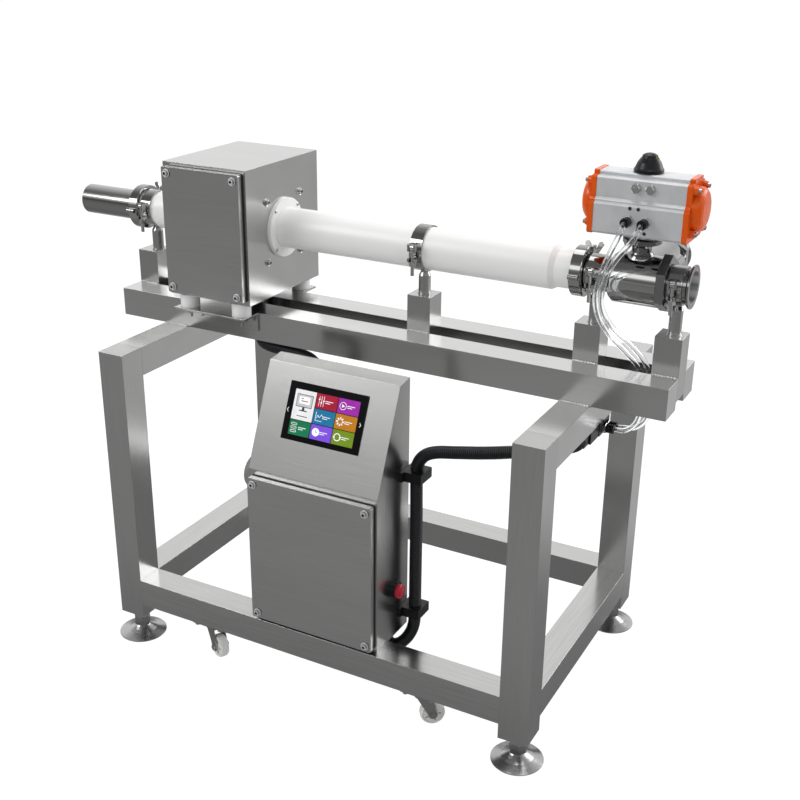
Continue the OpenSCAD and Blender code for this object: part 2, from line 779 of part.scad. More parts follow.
// Caster fork with its axle, and the wheel that runs on it
module caster_fork(right, rear, turn) {
    centre = caster_centre(right, rear);
    side_y = wheel_w / 2 + 1;
    crown_under = crown_z - caster_t;
    color("lightgray") translate([centre[0], centre[1], 0]) rotate([0, 0, turn]) {
        difference() {
            union() {
                translate([0, 0, crown_under + gap]) cylinder(r = crown_r, h = 2 * caster_t - 2 * gap);
                block([0, -side_y - caster_t, crown_under + gap],
                    [caster_trail, side_y + caster_t, crown_under + gap + caster_t]);
            }
            cylinder(r = kingpin_r + running, h = rail_z);
            translate([0, 0, crown_under - caster_t]) cylinder(r = kingpin_r + 3 + gap, h = 4.5);
        }
        for (s = [-1, 1]) translate([0, s * (side_y + caster_t / 2), 0])
            rotate([90, 0, 0]) linear_extrude(caster_t, center = true) {
                polygon([[-14, crown_under + 1], [16, crown_under + 1], [caster_trail + 9, axle_z],
                    [caster_trail - 9, axle_z]]);
                translate([caster_trail, axle_z]) circle(r = 9);
            }
        translate([caster_trail, 0, axle_z]) {
            y_rod(axle_r, 2 * side_y + 2 * caster_t);
            for (s = [-1, 1]) translate([0, s * (side_y + caster_t + 2), 0]) rotate([90, 0, 0])
                translate([0, 0, -2]) hexagon(axle_r + 2.5, 4);
        }
    }
}
module caster_wheel(right, rear, turn) {
    centre = caster_centre(right, rear);
    half = wheel_w / 2;
    color("white") translate([centre[0], centre[1], axle_z]) rotate([0, 0, turn])
        translate([caster_trail, 0, 0]) rotate([90, 0, 0]) rotate_extrude()
            polygon([[wheel_bore_r, -half], [9, -half], [10, 2 - half], [wheel_r - 6, 2 - half],
                [wheel_r - 4, -half], [wheel_r - 2, 0.8 - half], [wheel_r, 0.5 * -half],
                [wheel_r, 0.5 * half], [wheel_r - 2, half - 0.8], [wheel_r - 4, half],
                [wheel_r - 6, half - 2], [10, half - 2], [9, half], [wheel_bore_r, half]]);
}
module front_left_fork() {
    caster_fork(false, false, front_left_turn);
}
module front_right_fork() {
    caster_fork(true, false, front_right_turn);
}
module rear_left_fork() {
    caster_fork(false, true, rear_left_turn);
}
module rear_right_fork() {
    caster_fork(true, true, rear_right_turn);
}
module front_left_wheel() {
    caster_wheel(false, false, front_left_turn);
}
module front_right_wheel() {
    caster_wheel(true, false, front_right_turn);
}
module rear_left_wheel() {
    caster_wheel(false, true, rear_left_turn);
}
module rear_right_wheel() {
    caster_wheel(true, true, rear_right_turn);
}

// Pipe line
module inlet_tube() {
    color("silver") difference() {
        union() {
            translate([inlet_x, 0, pipe_z]) rotate([0, 90, 0])
                cylinder(r = tube_r, h = inlet_len - seal_t / 2);
            translate([joint_a_x, 0, pipe_z]) mirror([1, 0, 0]) ferrule();
        }
        translate([inlet_x - 1, 0, pipe_z]) rotate([0, 90, 0]) cylinder(r = bore_r, h = inlet_len + 2);
    }
}
module product_pipe() {
    neck_r = pipe_neck_d / 2;
    end = seal_t / 2;
    rim_end = end + ferrule_rim;
    taper_end = rim_end + ferrule_taper;
    neck_end = end + pipe_neck_len;
    body_start = neck_end + pipe_chamfer;
    outline = [[bore_r, end], [ferrule_r, end], [ferrule_r, rim_end], [neck_r, taper_end],
        [neck_r, neck_end], [pipe_r, body_start], [pipe_r, pipe_len - body_start],
        [neck_r, pipe_len - neck_end], [neck_r, pipe_len - taper_end],
        [ferrule_r, pipe_len - rim_end], [ferrule_r, pipe_len - end], [bore_r, pipe_len - end]];
    color("white") translate([joint_a_x, 0, pipe_z]) rotate([0, 90, 0])
        rotate_extrude() polygon(outline);
}
module pipe_flanges() {
    color("white") for (s = [-1, 1]) translate([head_mid + s * (head_len / 2), 0, pipe_z])
        rotate([0, s * 90, 0]) difference() {
            union() {
                cylinder(r = flange_d / 2, h = flange_t - 1);
                cylinder(r = flange_d / 2 - 1, h = flange_t);
                translate([0, 0, -sheet_t - 2]) cylinder(r = pipe_r + 6, h = sheet_t + 2 + eps);
            }
            translate([0, 0, -10]) cylinder(r = pipe_r + running, h = flange_t + 20);
        }
}

// Search head
module cover_corners(w, h, x, y, z) {
    for (i = [-1, 1], j = [-1, 1])
        translate([x + i * (w / 2 - screw_in), y, z + j * (h / 2 - screw_in)]) children();
}
module cover_opening(w, h, x, y, z) {
    block([x - w / 2 + cover_lap, y - 1, z - h / 2 + cover_lap],
        [x + w / 2 - cover_lap, y + sheet_t + 1, z + h / 2 - cover_lap]);
    cover_corners(w, h, x, y, z) y_rod(screw_r + running, 10);
}
module weld_nuts(w, h, x, y, z) {
    cover_corners(w, h, x, y + sheet_t + weld_nut / 2 - eps, z) difference() {
        y_rod(weld_nut - 1, weld_nut);
        y_rod(screw_r + running, weld_nut + 2);
    }
}
module head_housing() {
    wall = sheet_t;
    color("silver") difference() {
        block([head_x, head_y, head_z], [head_x + head_len, -head_y, head_z + head_h]);
        block([head_x + wall, head_y + wall, head_z + wall],
            [head_x + head_len - wall, -head_y - wall, head_z + head_h - wall]);
        cover_opening(cover_w, cover_h, head_mid, head_y, pipe_z);
        translate([head_mid, 0, pipe_z]) x_rod(pipe_r + 6 + gap, head_len + 2);
        translate([head_cable_x, 0, head_z - 1]) cylinder(r = gland_r, h = wall + 2);
        for (x = [-1, 1], y = [-1, 1])
            translate([head_mid + x * head_foot_gap / 2, y * head_foot_y, head_z - 1])
                cylinder(r = bracket_bolt_r + gap, h = wall + 2);
    }
    color("silver") weld_nuts(cover_w, cover_h, head_mid, head_y, pipe_z);
}
module folded_cover(w, h, x, y, z) {
    translate([x, y, z]) difference() {
        rotate([90, 0, 0]) linear_extrude(cover_dep) round_plate(w, h, 4);
        translate([0, 1, 0]) rotate([90, 0, 0]) linear_extrude(cover_dep - sheet_t + 1)
            round_plate(w - 2 * sheet_t, h - 2 * sheet_t, 2.5);
        cover_corners(w, h, 0, -cover_dep, 0) y_rod(screw_r + gap, 10);
    }
}
module head_cover() {
    color("lightgray") folded_cover(cover_w, cover_h, head_mid, cover_y, pipe_z);
}
module seal_frame(w, h, x, y, z) {
    translate([x, y, z]) difference() {
        rotate([90, 0, 0]) linear_extrude(strip_t) round_plate(w, h, 3);
        block([7 - w / 2, -strip_t - 1, 7 - h / 2], [w / 2 - 7, 1, h / 2 - 7]);
    }
}
module cover_seals() {
    color("dimgray") {
        seal_frame(cover_w - 2, cover_h - 2, head_mid, head_y, pipe_z);
        seal_frame(door_w - 2, door_h - 2, cab_mid, cab_y, door_mid_z);
        for (x = [joint_a_x, joint_b_x]) translate([x, 0, pipe_z]) difference() {
            x_rod(ferrule_r - 1, seal_t);
            x_rod(bore_r, seal_t + 2);
        }
    }
}
module cover_screw() {
    rotate([90, 0, 0]) {
        translate([0, 0, -24]) cylinder(r = screw_r, h = 25);
        cylinder(r = 7, h = 1.5);
        difference() {
            cylinder(r = 5, h = 7);
            translate([0, 0, 4]) hexagon(2.9, 4);
        }
    }
}
module cover_screws() {
    color("gainsboro") {
        cover_corners(cover_w, cover_h, head_mid, cover_y - cover_dep, pipe_z) cover_screw();
        cover_corners(door_w, door_h, cab_mid, door_y - cover_dep, door_mid_z) cover_screw();
    }
}
module head_feet() {
    color("white") for (x = [-1, 1], y = [-1, 1])
        translate([head_mid + x * head_foot_gap / 2, y * head_foot_y, beam_top]) difference() {
            cylinder(r = head_foot_d / 2, h = head_z - beam_top);
            translate([0, 0, -1]) cylinder(r = bracket_bolt_r + gap, h = head_z - beam_top + 2);
        }
}
module head_brackets() {
    color("silver") for (s = [-1, 1]) scale([1, s, 1]) difference() {
        union() {
            block([head_mid - bracket_len / 2, beam_face, beam_top - bracket_t],
                [head_mid + bracket_len / 2, beam_face + bracket_w, beam_top]);
            block([head_mid - bracket_len / 2, beam_face, beam_top - bracket_h],
                [head_mid + bracket_len / 2, beam_face + bracket_t, beam_top]);
        }
        for (x = [-1, 1]) translate([head_mid + x * head_foot_gap / 2, head_foot_y, beam_top])
            cylinder(r = bracket_bolt_r + gap, h = 20, center = true);
    }
}
module coil_former() {
    half = former_len / 2;
    color("beige") translate([head_mid, 0, pipe_z]) difference() {
        union() {
            x_rod(former_r, former_len);
            for (s = [-1, 1]) translate([s * (half - 4), 0, 0])
                cube([8, 2 * plate_half, 2 * plate_half], center = true);
        }
        x_rod(former_hub_r + 2 + gap, former_len + 2);
        for (x = [-coil_pitch, 0, coil_pitch]) translate([x, 0, 0]) difference() {
            x_rod(former_r + 1, coil_w + 2 * gap);
            x_rod(former_r - groove, coil_w + 4);
        }
    }
}
module search_coils() {
    color("peru") for (x = [-coil_pitch, 0, coil_pitch]) translate([head_mid + x, 0, pipe_z])
        difference() {
            x_rod(former_r - 0.5, coil_w);
            x_rod(former_r - groove + gap, coil_w + 2);
        }
}

// Three-way valve
module hex_union(h) {
    rotate([0, 0, 30]) hexagon(hex_r, h);
}
module reject_branch() {
    r = valve_r - 1;
    past_hex = hex_r + 6;
    intersection() {
        rotate([-90, 0, 0]) cylinder(r = r, h = past_hex + eps);
        block([-valve_r, -1, -valve_r], [valve_right - gap, past_hex + 1, valve_r]);
    }
    translate([0, past_hex, 0]) rotate([-90, 0, 0]) cylinder(r = r, h = branch_len - past_hex);
}
module valve_body() {
    left = -valve_left;
    color("gainsboro") translate([stem_x, 0, pipe_z]) difference() {
        union() {
            translate([left, 0, 0]) rotate([0, 90, 0]) rotate_extrude() polygon([[0, 0],
                [valve_r - 12, 0], [valve_r - 5, 2], [valve_r, 8],
                [valve_r, valve_left + valve_right], [0, valve_left + valve_right]]);
            translate([-stem_reach + seal_t / 2, 0, 0]) rotate([0, 90, 0])
                cylinder(r = tube_r, h = stem_reach + left);
            translate([-stem_reach, 0, 0]) ferrule();
            reject_branch();
            translate([0, branch_len, 0]) rotate([-90, 0, 0]) hex_union(valve_hex_len);
            rotate([-90, 0, 0]) cylinder(r = tube_r, h = reject_reach);
            translate([0, reject_reach + seal_t / 2, 0]) rotate([0, 0, -90]) ferrule();
            cylinder(r = bonnet_r, h = bonnet_top);
        }
        sphere(r = cavity_r);
        rotate([0, 90, 0]) cylinder(r = cavity_r, h = valve_right + 1);
        translate([-stem_reach - 1, 0, 0]) rotate([0, 90, 0]) cylinder(r = bore_r, h = stem_reach);
        rotate([-90, 0, 0]) cylinder(r = bore_r, h = reject_reach + 1);
        rotate([-90, 0, 0]) cylinder(r = bore_r + seat_relief, h = seat_end);
        cylinder(r = stem_r + running, h = bonnet_top + 1);
    }
}
module valve_end() {
    color("gainsboro") translate([stem_x, 0, pipe_z]) difference() {
        union() {
            translate([valve_right, 0, 0]) rotate([0, 90, 0]) hexagon(hex_r, valve_hex_len);
            translate([8, 0, 0]) rotate([0, 90, 0]) cylinder(r = cavity_r - gap, h = valve_right - 8 + eps);
            translate([valve_right, 0, 0]) rotate([0, 90, 0])
                cylinder(r = tube_r, h = outlet_reach - valve_right);
            translate([outlet_reach + seal_t / 2, 0, 0]) mirror([1, 0, 0]) ferrule();
        }
        sphere(r = cavity_r);
        rotate([0, 90, 0]) cylinder(r = bore_r, h = outlet_reach + 1);
        cylinder(r = stem_r + 3, h = valve_r);
    }
}
module valve_ball() {
    color("lightgray") translate([stem_x, 0, pipe_z]) difference() {
        sphere(r = ball_r, $fn = 96);
        x_rod(bore_r, ball_d + 2);
        rotate([90, 0, 0]) cylinder(r = bore_r, h = ball_r + 1);
        block([-ball_r, -4.2, bore_r + 2], [ball_r, 4.2, ball_r + 1]);
    }
}
module valve_stem() {
    square_start = bonnet_top + 12;
    color("silver") translate([stem_x, 0, pipe_z]) {
        intersection() {
            block([-stem_r + 1, -4, bore_r + 2.2], [stem_r - 1, 4, ball_r + 4]);
            cylinder(r = stem_r - 0.5, h = valve_r);
        }
        translate([0, 0, ball_r + 0.8]) cylinder(r = stem_r, h = square_start - ball_r - 0.8);
        translate([-stem_square / 2, -stem_square / 2, square_start - eps])
            cube([stem_square, stem_square, actuator_rise + 14 - square_start]);
    }
}

// Actuator
module actuator_bracket() {
    base = pipe_z + bonnet_top;
    neck = act_z - base;
    color("dimgray") translate([stem_x, 0, base]) difference() {
        union() {
            cylinder(r = bonnet_r - 1, h = neck - pad_t + eps);
            block([-pad_x, -pad_y, neck - pad_t], [pad_x, pad_y, neck]);
        }
        translate([0, 0, -1]) cylinder(r = stem_r + 1, h = actuator_h);
        translate([0, 0, 10]) cylinder(r = shaft_r + 1, h = actuator_h);
    }
}
function body_outline(grow) =
    let (a = actuator_dep / 2 + grow, b = actuator_upper / 2 + grow, c = actuator_ridge / 2 + grow,
        lo = -grow, hi = actuator_h + grow)
    [[-a + 4, lo], [a - 4, lo], [a, lo + 4], [a, 52], [a - 3, 56], [a - 3, 59], [b, 63],
        [b, actuator_h - 10], [b - 2.5, actuator_h - 7.5], [c, actuator_h - 7 + grow],
        [c, hi - 2], [c - 2, hi], [2 - c, hi], [-c, hi - 2], [-c, actuator_h - 7 + grow],
        [2.5 - b, actuator_h - 7.5], [-b, actuator_h - 10], [-b, 63], [3 - a, 59], [3 - a, 56],
        [-a, 52], [-a, lo + 4]];
module body_profile(length, grow) {
    translate([stem_x, 0, act_z]) rotate([90, 0, 90])
        linear_extrude(length, center = true) polygon(body_outline(grow));
}
module actuator_body() {
    color("lightgray") difference() {
        body_profile(actuator_body, 0);
        translate([stem_x, 0, piston_z]) x_rod(piston_r, actuator_body + 2);
        translate([stem_x, 0, act_z - 1]) cylinder(r = shaft_r + running, h = actuator_h + 2);
        for (s = [-1, 1]) translate([stem_x + s * fitting_dx, -actuator_dep / 2, fitting_z])
            y_rod(port_r, 2 * port_depth);
    }
}
module cap_dome() {
    dome = cap_reach - cap_t;
    rotate_extrude() polygon([[0, 0], [40, 0], [40, 0.22 * dome], [39, 0.43 * dome],
        [36.5, 0.65 * dome], [32, 0.85 * dome], [26, 0.96 * dome], [0, dome]]);
}
module actuator_caps() {
    color("orangered") for (s = [-1, 1]) difference() {
        union() {
            translate([s * (actuator_body + cap_t) / 2, 0, 0]) body_profile(cap_t, 1);
            translate([stem_x + s * (actuator_body / 2 + cap_t - eps), 0, piston_z])
                rotate([0, s * 90, 0]) cap_dome();
            for (y = [-1, 1], z = [-1, 1])
                translate([stem_x + s * (actuator_body / 2 + cap_t), y * 29, piston_z + z * 37])
                    rotate([0, s * 90, 0]) cylinder(r1 = 8, r2 = 6.5, h = 8);
        }
        translate([stem_x + s * (actuator_body / 2 - 1), 0, piston_z]) rotate([0, s * 90, 0])
            cylinder(r = piston_r - 3, h = cap_t + 5);
    }
}

// Rack and pinion: involute pinion flanks, straight rack flanks, teeth in mesh at rest
function flank(angle, side) =
    let (turn = angle - atan(angle * PI / 180), a = side * (tooth_base - turn),
        r = base_r * sqrt(1 + pow(angle * PI / 180, 2)))
    [r * cos(a), r * sin(a)];
tooth_base = 90 / pinion_teeth + (tan(20) * 180 / PI - 20) - tooth_play / pitch_r * 45 / PI;
flank_end = sqrt(pow(tip_r / base_r, 2) - 1) * 180 / PI;
function spin(p, a) = [p[0] * cos(a) - p[1] * sin(a), p[0] * sin(a) + p[1] * cos(a)];
function tooth(a) = concat(
    [spin([root_r * cos(-tooth_base), root_r * sin(-tooth_base)], a)],
    [for (i = [0 : 4]) spin(flank(i * flank_end / 4, -1), a)],
    [for (i = [4 : -1 : 0]) spin(flank(i * flank_end / 4, 1), a)],
    [spin([root_r * cos(tooth_base), root_r * sin(tooth_base)], a)]);
module drive_pinion() {
    points = [for (k = [0 : pinion_teeth - 1]) each tooth(k * 360 / pinion_teeth)];
    color("silver") translate([stem_x, 0, 0]) difference() {
        union() {
            translate([0, 0, piston_z - rack_h / 2 - 1]) linear_extrude(rack_h + 2) polygon(points);
            translate([0, 0, act_z + gap]) cylinder(r = shaft_r, h = actuator_h - gap);
            translate([0, 0, act_top - eps]) cylinder(r = 8, h = 10);
        }
        translate([-stem_square / 2 - 0.2, -stem_square / 2 - 0.2, act_z - 1])
            cube([stem_square + 0.4, stem_square + 0.4, 17]);
    }
}
module rack_profile() {
    tip_half = tooth_pitch / 4 - tooth_play / 4 - (gear_module - 0.1) * tan(20);
    root_half = tooth_pitch / 4 - tooth_play / 4 + 1.25 * gear_module * tan(20);
    root_y = pitch_r + 1.25 * gear_module;
    tip_y = pitch_r - gear_module + 0.1;
    polygon([[-piston_face - 1, root_y], [rack_tip, root_y], [rack_tip, rack_back],
        [-piston_face - 1, rack_back]]);
    for (k = [-5 : 4]) translate([(k + 0.5) * tooth_pitch, 0])
        if ((k + 0.5) * tooth_pitch > 4 - piston_face)
            polygon([[-root_half, root_y + eps], [-tip_half, tip_y], [tip_half, tip_y],
                [root_half, root_y + eps]]);
}
module piston() {
    difference() {
        union() {
            translate([-piston_face - piston_t / 2, 0, 0]) x_rod(piston_r - 0.08, piston_t);
            translate([0, 0, -rack_h / 2]) linear_extrude(rack_h) rack_profile();
        }
        translate([-piston_face - piston_t / 2, 0, 0]) rotate([0, 90, 0]) rotate_extrude()
            translate([piston_r - 1.5, -2]) square([3, 4]);
    }
}
module left_piston() {
    color("gray") translate([stem_x, 0, piston_z]) mirror([0, 1, 0]) piston();
}
module right_piston() {
    color("gray") translate([stem_x, 0, piston_z]) mirror([1, 0, 0]) piston();
}
module position_indicator() {
    r = indicator_d / 2;
    color("#202020") translate([stem_x, 0, act_top + 1]) difference() {
        union() {
            rotate_extrude() polygon([[0, 0], [r, 0], [r, 5], [0.93 * r, 7], [0.78 * r, 17],
                [0.58 * r, 24], [0.54 * r, 24], [0.48 * r, 29], [0.3 * r, indicator_h - 1.5],
                [0, indicator_h]]);
        }
        translate([0, 0, -1]) cylinder(r = 8 + running, h = 10.4);
    }
}

// Air line: push-in fittings, solenoid valve and two clear tubes
module push_fitting() {
    rotate_extrude() polygon([[0, -5], [3.8, -5], [3.8, 0], [10, 0], [10, 3], [0, 3]]);
    hexagon(10.5, 7);
    difference() {
        translate([0, 0, 7 - eps]) cylinder(r = 9, h = 15);
        translate([0, 0, 12]) cylinder(r = air_tube_d / 2 + 0.2, h = 20);
    }
}
module air_fittings() {
    color("#303030") {
        for (s = [-1, 1]) translate([stem_x + s * fitting_dx, -actuator_dep / 2 - gap, fitting_z])
            rotate([90, 0, 0]) push_fitting();
        for (y = [front_port_y, rear_port_y]) translate([solenoid_x + 13 + gap, y, port_z])
            rotate([0, 90, 0]) push_fitting();
    }
}
module solenoid_valve() {
    color("#2a2a2e") {
        difference() {
            block([solenoid_x - 13, 0, solenoid_z - 30], [solenoid_x + 13, 56, solenoid_z - 4]);
            for (y = [front_port_y, rear_port_y]) translate([solenoid_x + 13, y, port_z])
                x_rod(port_r, 14);
        }
        block([solenoid_x - 12, -46, solenoid_z - 29], [solenoid_x + 12, eps, solenoid_z - 5]);
        block([solenoid_x - 9, -74, solenoid_z - 27], [solenoid_x + 9, eps - 46, solenoid_z - 7]);
        block([solenoid_x - 16, 10, solenoid_z - 4 - eps], [solenoid_x + 16, 46, solenoid_z + 4]);
    }
}
function curve(a, b, c, d, t) = 0.5 * ((2 * b) + (c - a) * t + (2 * a - 5 * b + 4 * c - d) * t * t
    + (3 * b - a - 3 * c + d) * t * t * t);
function smooth(route, n) = [for (i = [0 : len(route) - 2], k = [0 : n - 1])
    curve(route[max(i - 1, 0)], route[i], route[i + 1], route[min(i + 2, len(route) - 1)], k / n),
    route[len(route) - 1]];
function unit(v) = v / norm(v);
function heading(p, i) = unit(p[min(i + 1, len(p) - 1)] - p[max(i - 1, 0)]);
function sideways(p, i) = i == 0
    ? unit(cross(heading(p, 0), abs(heading(p, 0)[0]) < 0.9 ? [1, 0, 0] : [0, 1, 0]))
    : let (u = sideways(p, i - 1), h = heading(p, i)) unit(u - (u * h) * h);
module sweep(route, r, sides, n) {
    p = smooth(route, n);
    rings = [for (i = [0 : len(p) - 1]) let (u = sideways(p, i), v = cross(heading(p, i), u))
        for (k = [0 : sides - 1]) p[i] + r * cos(360 * k / sides) * u + r * sin(360 * k / sides) * v];
    last = (len(p) - 1) * sides;
    walls = [for (i = [0 : len(p) - 2], k = [0 : sides - 1])
        [i * sides + k, i * sides + (k + 1) % sides, (i + 1) * sides + (k + 1) % sides,
            (i + 1) * sides + k]];
    polyhedron(rings, concat(walls, [[for (k = [sides - 1 : -1 : 0]) k]],
        [[for (k = [0 : sides - 1]) last + k]]), convexity = 6);
}
module front_air_tube() {
    color("whitesmoke") sweep(front_tube_route, air_tube_d / 2, 8, 1);
}
module rear_air_tube() {
    color("whitesmoke") sweep(rear_tube_route, air_tube_d / 2, 8, 1);
}

// Control cabinet
module cabinet_shell(w, inset) {
    i = inset;
    translate([cab_x + inset, 0, 0]) rotate([90, 0, 90]) linear_extrude(w) polygon([
        [cab_y + i, rail_top + i], [cab_rear - i, rail_top + i],
        [cab_rear - i, cabinet_top + top_rise - i], [top_y + i * (1 - tan(tilt)) , cabinet_top - i],
        [cab_y + i, bend_z + i * tan(tilt)]]);
}
module on_slope(x, up) {
    translate([x, cab_y, bend_z]) rotate([-tilt, 0, 0]) translate([0, 0, up]) children();
}
module cabinet_body() {
    color("silver") difference() {
        cabinet_shell(cabinet_w, 0);
        cabinet_shell(cabinet_w - 2 * sheet_t, sheet_t);
        cover_opening(door_w, door_h, cab_mid, cab_y, door_mid_z);
        on_slope(cab_mid, screen_up)
            cube([screen_w - 8 + 2 * gap, 12, screen_h - 8 + 2 * gap], center = true);
        translate([cab_end, cab_y + button_y, button_z]) x_rod(11.3, 3 * sheet_t);
        translate([cab_x, sounder_y, sounder_z]) x_rod(8, 3 * sheet_t);
        translate([power_entry[0], power_entry[1], rail_top])
            cylinder(r = gland_r, h = 3 * sheet_t, center = true);
        translate([head_entry[0], cab_rear, head_entry[1]]) y_rod(gland_r, 3 * sheet_t);
    }
    color("silver") weld_nuts(door_w, door_h, cab_mid, cab_y, door_mid_z);
}
module cabinet_door() {
    color("lightgray") folded_cover(door_w, door_h, cab_mid, door_y, door_mid_z);
}
module touch_screen() {
    color("#101014") on_slope(cab_mid, screen_up) {
        translate([0, -1.3, 0]) cube([screen_w, 2, screen_h], center = true);
        translate([0, 12, 0]) cube([screen_w - 8, 25, screen_h - 8], center = true);
    }
}
module button_housing() {
    color("#202020") translate([button_wall, cab_y + button_y, button_z]) rotate([0, 90, 0]) {
        difference() {
            union() {
                translate([0, 0, gap]) cylinder(r = collar_r, h = collar_h - gap);
                translate([0, 0, -14]) cylinder(r = 11, h = 15);
                translate([-15, -14, -38]) cube([30, 28, 24 + eps]);
            }
            translate([0, 0, 3]) cylinder(r = button_d / 2 + gap, h = collar_h);
            translate([0, 0, -12]) cylinder(r = 4 + running, h = 20);
        }
    }
}
module stop_button() {
    color("crimson") translate([button_wall, cab_y + button_y, button_z]) rotate([0, 90, 0]) {
        translate([0, 0, -7]) cylinder(r = 4, h = 16);
        rotate_extrude() polygon([[0, 3 + button_travel + 0.5],
            [button_d / 2, 3 + button_travel + 0.5], [button_d / 2, collar_h + 8],
            [button_d / 2 - 2, collar_h + 10], [0, collar_h + 11]]);
    }
}
module alarm_sounder() {
    r = sounder_d / 2;
    color("gray") translate([cab_x - gap, sounder_y, sounder_z]) rotate([0, -90, 0]) {
        rotate_extrude() polygon([[0, 0], [r, 0], [r, 13], [r - 2, 20], [r - 8, 23], [9, 23],
            [9, 18], [0, 18]]);
        translate([0, 0, -16]) cylinder(r = 7.5, h = 17);
    }
}
module power_supply() {
    color("gainsboro") block([cab_x + 30, cab_rear - sheet_t - 52, rail_top + 60],
        [cab_x + 130, cab_rear - sheet_t - gap, rail_top + 170]);
}
module control_board() {
    color("darkgreen") {
        block([cab_x + 150, cab_rear - 20, rail_top + 50], [cab_x + 260, cab_rear - 18, rail_top + 230]);
        for (x = [158, 252], z = [58, 222]) translate([cab_x + x, cab_rear - 10.2, rail_top + z])
            y_rod(3.5, 15.8);
        for (z = [80, 130, 180]) block([cab_x + 170, cab_rear - 34, rail_top + z],
            [cab_x + 230, cab_rear - 20 + eps, rail_top + z + 30]);
    }
}
module power_conduit() {
    color("#202428") sweep(power_route, conduit_d / 2, 10, 1);
}
module head_conduit() {
    color("#202428") sweep(head_route, conduit_d / 2, 10, 1);
}
module gland(r) {
    difference() {
        union() {
            hexagon(r + 4.5, 8);
            translate([0, 0, -10]) cylinder(r = r - 2, h = 11);
            translate([0, 0, 8 - eps]) cylinder(r = r + 3, h = 14);
        }
        translate([0, 0, 3]) cylinder(r = r + gap, h = 40);
        translate([0, 0, -11]) cylinder(r = r - 5, h = 40);
    }
}
module conduit_clamp(z) {
    difference() {
        union() {
            block([cab_end + gap, conduit_y - 30, z - 10], [cab_end + 7, conduit_y + 9.5, z + 10]);
            block([cab_end + gap, conduit_y - 23, z - 10], [conduit_x + 20, conduit_y + 23, z + 10]);
        }
        translate([conduit_x, conduit_y, z - 20]) cylinder(r = conduit_d / 2 + gap, h = 40);
    }
}
module conduit_fittings() {
    color("#1c1c20") {
        conduit_clamp(lower_clamp_z);
        conduit_clamp(upper_clamp_z);
        translate([power_entry[0], power_entry[1], rail_top - gap]) rotate([180, 0, 0])
            gland(conduit_d / 2);
        translate([head_entry[0], cab_rear + gap, head_entry[1]]) rotate([-90, 0, 0])
            gland(conduit_d / 2);
        translate([head_cable_x, 0, head_z - gap]) rotate([180, 0, 0]) gland(conduit_d / 2);
    }
}

stand_legs();
stand_rails();
stand_beams();
pipe_posts();
holder_caps();
holder_bolts();
clamp_halves();
inlet_bolt();
outlet_bolt();
inlet_wing_nut();
outlet_wing_nut();
front_left_foot();
front_right_foot();
rear_left_foot();
rear_right_foot();
front_left_fork();
front_right_fork();
rear_left_fork();
rear_right_fork();
front_left_wheel();
front_right_wheel();
rear_left_wheel();
rear_right_wheel();
inlet_tube();
product_pipe();
pipe_flanges();
head_housing();
head_cover();
head_feet();
head_brackets();
coil_former();
search_coils();
cover_seals();
cover_screws();
valve_body();
valve_end();
valve_ball();
valve_stem();
actuator_bracket();
actuator_body();
actuator_caps();
left_piston();
right_piston();
drive_pinion();
position_indicator();
air_fittings();
solenoid_valve();
front_air_tube();
rear_air_tube();
cabinet_body();
cabinet_door();
touch_screen();
button_housing();
stop_button();
alarm_sounder();
power_supply();
control_board();
power_conduit();
head_conduit();
conduit_fittings();
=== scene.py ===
"""Looks of the pipeline metal detector: materials, fine pieces, light and camera.

Sizes of pieces are millimetres until V or MM turns them into metres. The floor and the lamps are placed
in metres. The product flows along +X, and +Z is up.
"""
import math

import bmesh
import bpy
from mathutils import Matrix, Vector


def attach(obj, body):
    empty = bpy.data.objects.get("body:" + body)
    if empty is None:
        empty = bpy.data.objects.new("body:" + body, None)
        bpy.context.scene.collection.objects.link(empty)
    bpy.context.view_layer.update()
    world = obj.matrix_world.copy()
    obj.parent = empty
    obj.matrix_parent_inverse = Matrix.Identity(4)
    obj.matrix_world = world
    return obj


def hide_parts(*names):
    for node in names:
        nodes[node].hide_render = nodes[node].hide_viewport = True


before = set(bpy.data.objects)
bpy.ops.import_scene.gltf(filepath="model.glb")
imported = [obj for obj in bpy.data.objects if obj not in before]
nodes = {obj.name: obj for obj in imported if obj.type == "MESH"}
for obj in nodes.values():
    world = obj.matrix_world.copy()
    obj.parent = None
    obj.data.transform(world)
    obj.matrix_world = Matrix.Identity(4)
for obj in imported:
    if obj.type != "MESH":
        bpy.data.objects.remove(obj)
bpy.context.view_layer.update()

# Sizes as in the part. X0 and X1 are ends along the line, and heights are above the floor
MM = 0.001
# The stand: its square tube, the faces of the long beams from the middle, and the posts on them
SQUARE = 60.0
STAND_X0, STAND_X1, STAND_Y, STAND_TOP = -429.75, 536.25, 301.0, 667.0
BEAM_IN, BEAM_OUT, BEAM_TOP = 25.0, 85.0, 727.0
RAIL_Z0, RAIL_Z1 = 91.0, 149.0
POSTS, POST_WELD = (-517.75, 153.25, 500.25, 651.25), 24.0
# The pipe's axis and the search head round it
PIPE_Z = 892.0
HEAD_X0, HEAD_X1 = -373.75, -173.75
HEAD_MID = (HEAD_X0 + HEAD_X1) / 2
# The valve's stem, the actuator's underside, its pistons and the faces of its front and of its caps
STEM, ACT_Z, PISTON_Z = 581.25, 977.0, 1029.0
ACT_FRONT, CHANNEL_FRONT, CAP_FACE = -46.0, -37.0, 96.6
AIR_PORTS = ((STEM - 15, 1005.5), (STEM + 15, 1005.5))
SOLENOID_X, SOLENOID_FRONT, SOLENOID_Z = 518.25, -74.0, 588.0
# The cabinet, and the height where its front starts to slope
CAB_X0, CAB_X1, CAB_Y, BEND_Z = -80.75, 208.25, -287.0, 483.0
CAB_MID = (CAB_X0 + CAB_X1) / 2
SLOPE_TILT = math.atan2(87.0, 200.0)
SOUNDER_Y, SOUNDER_Z = CAB_Y + 43, 456.0
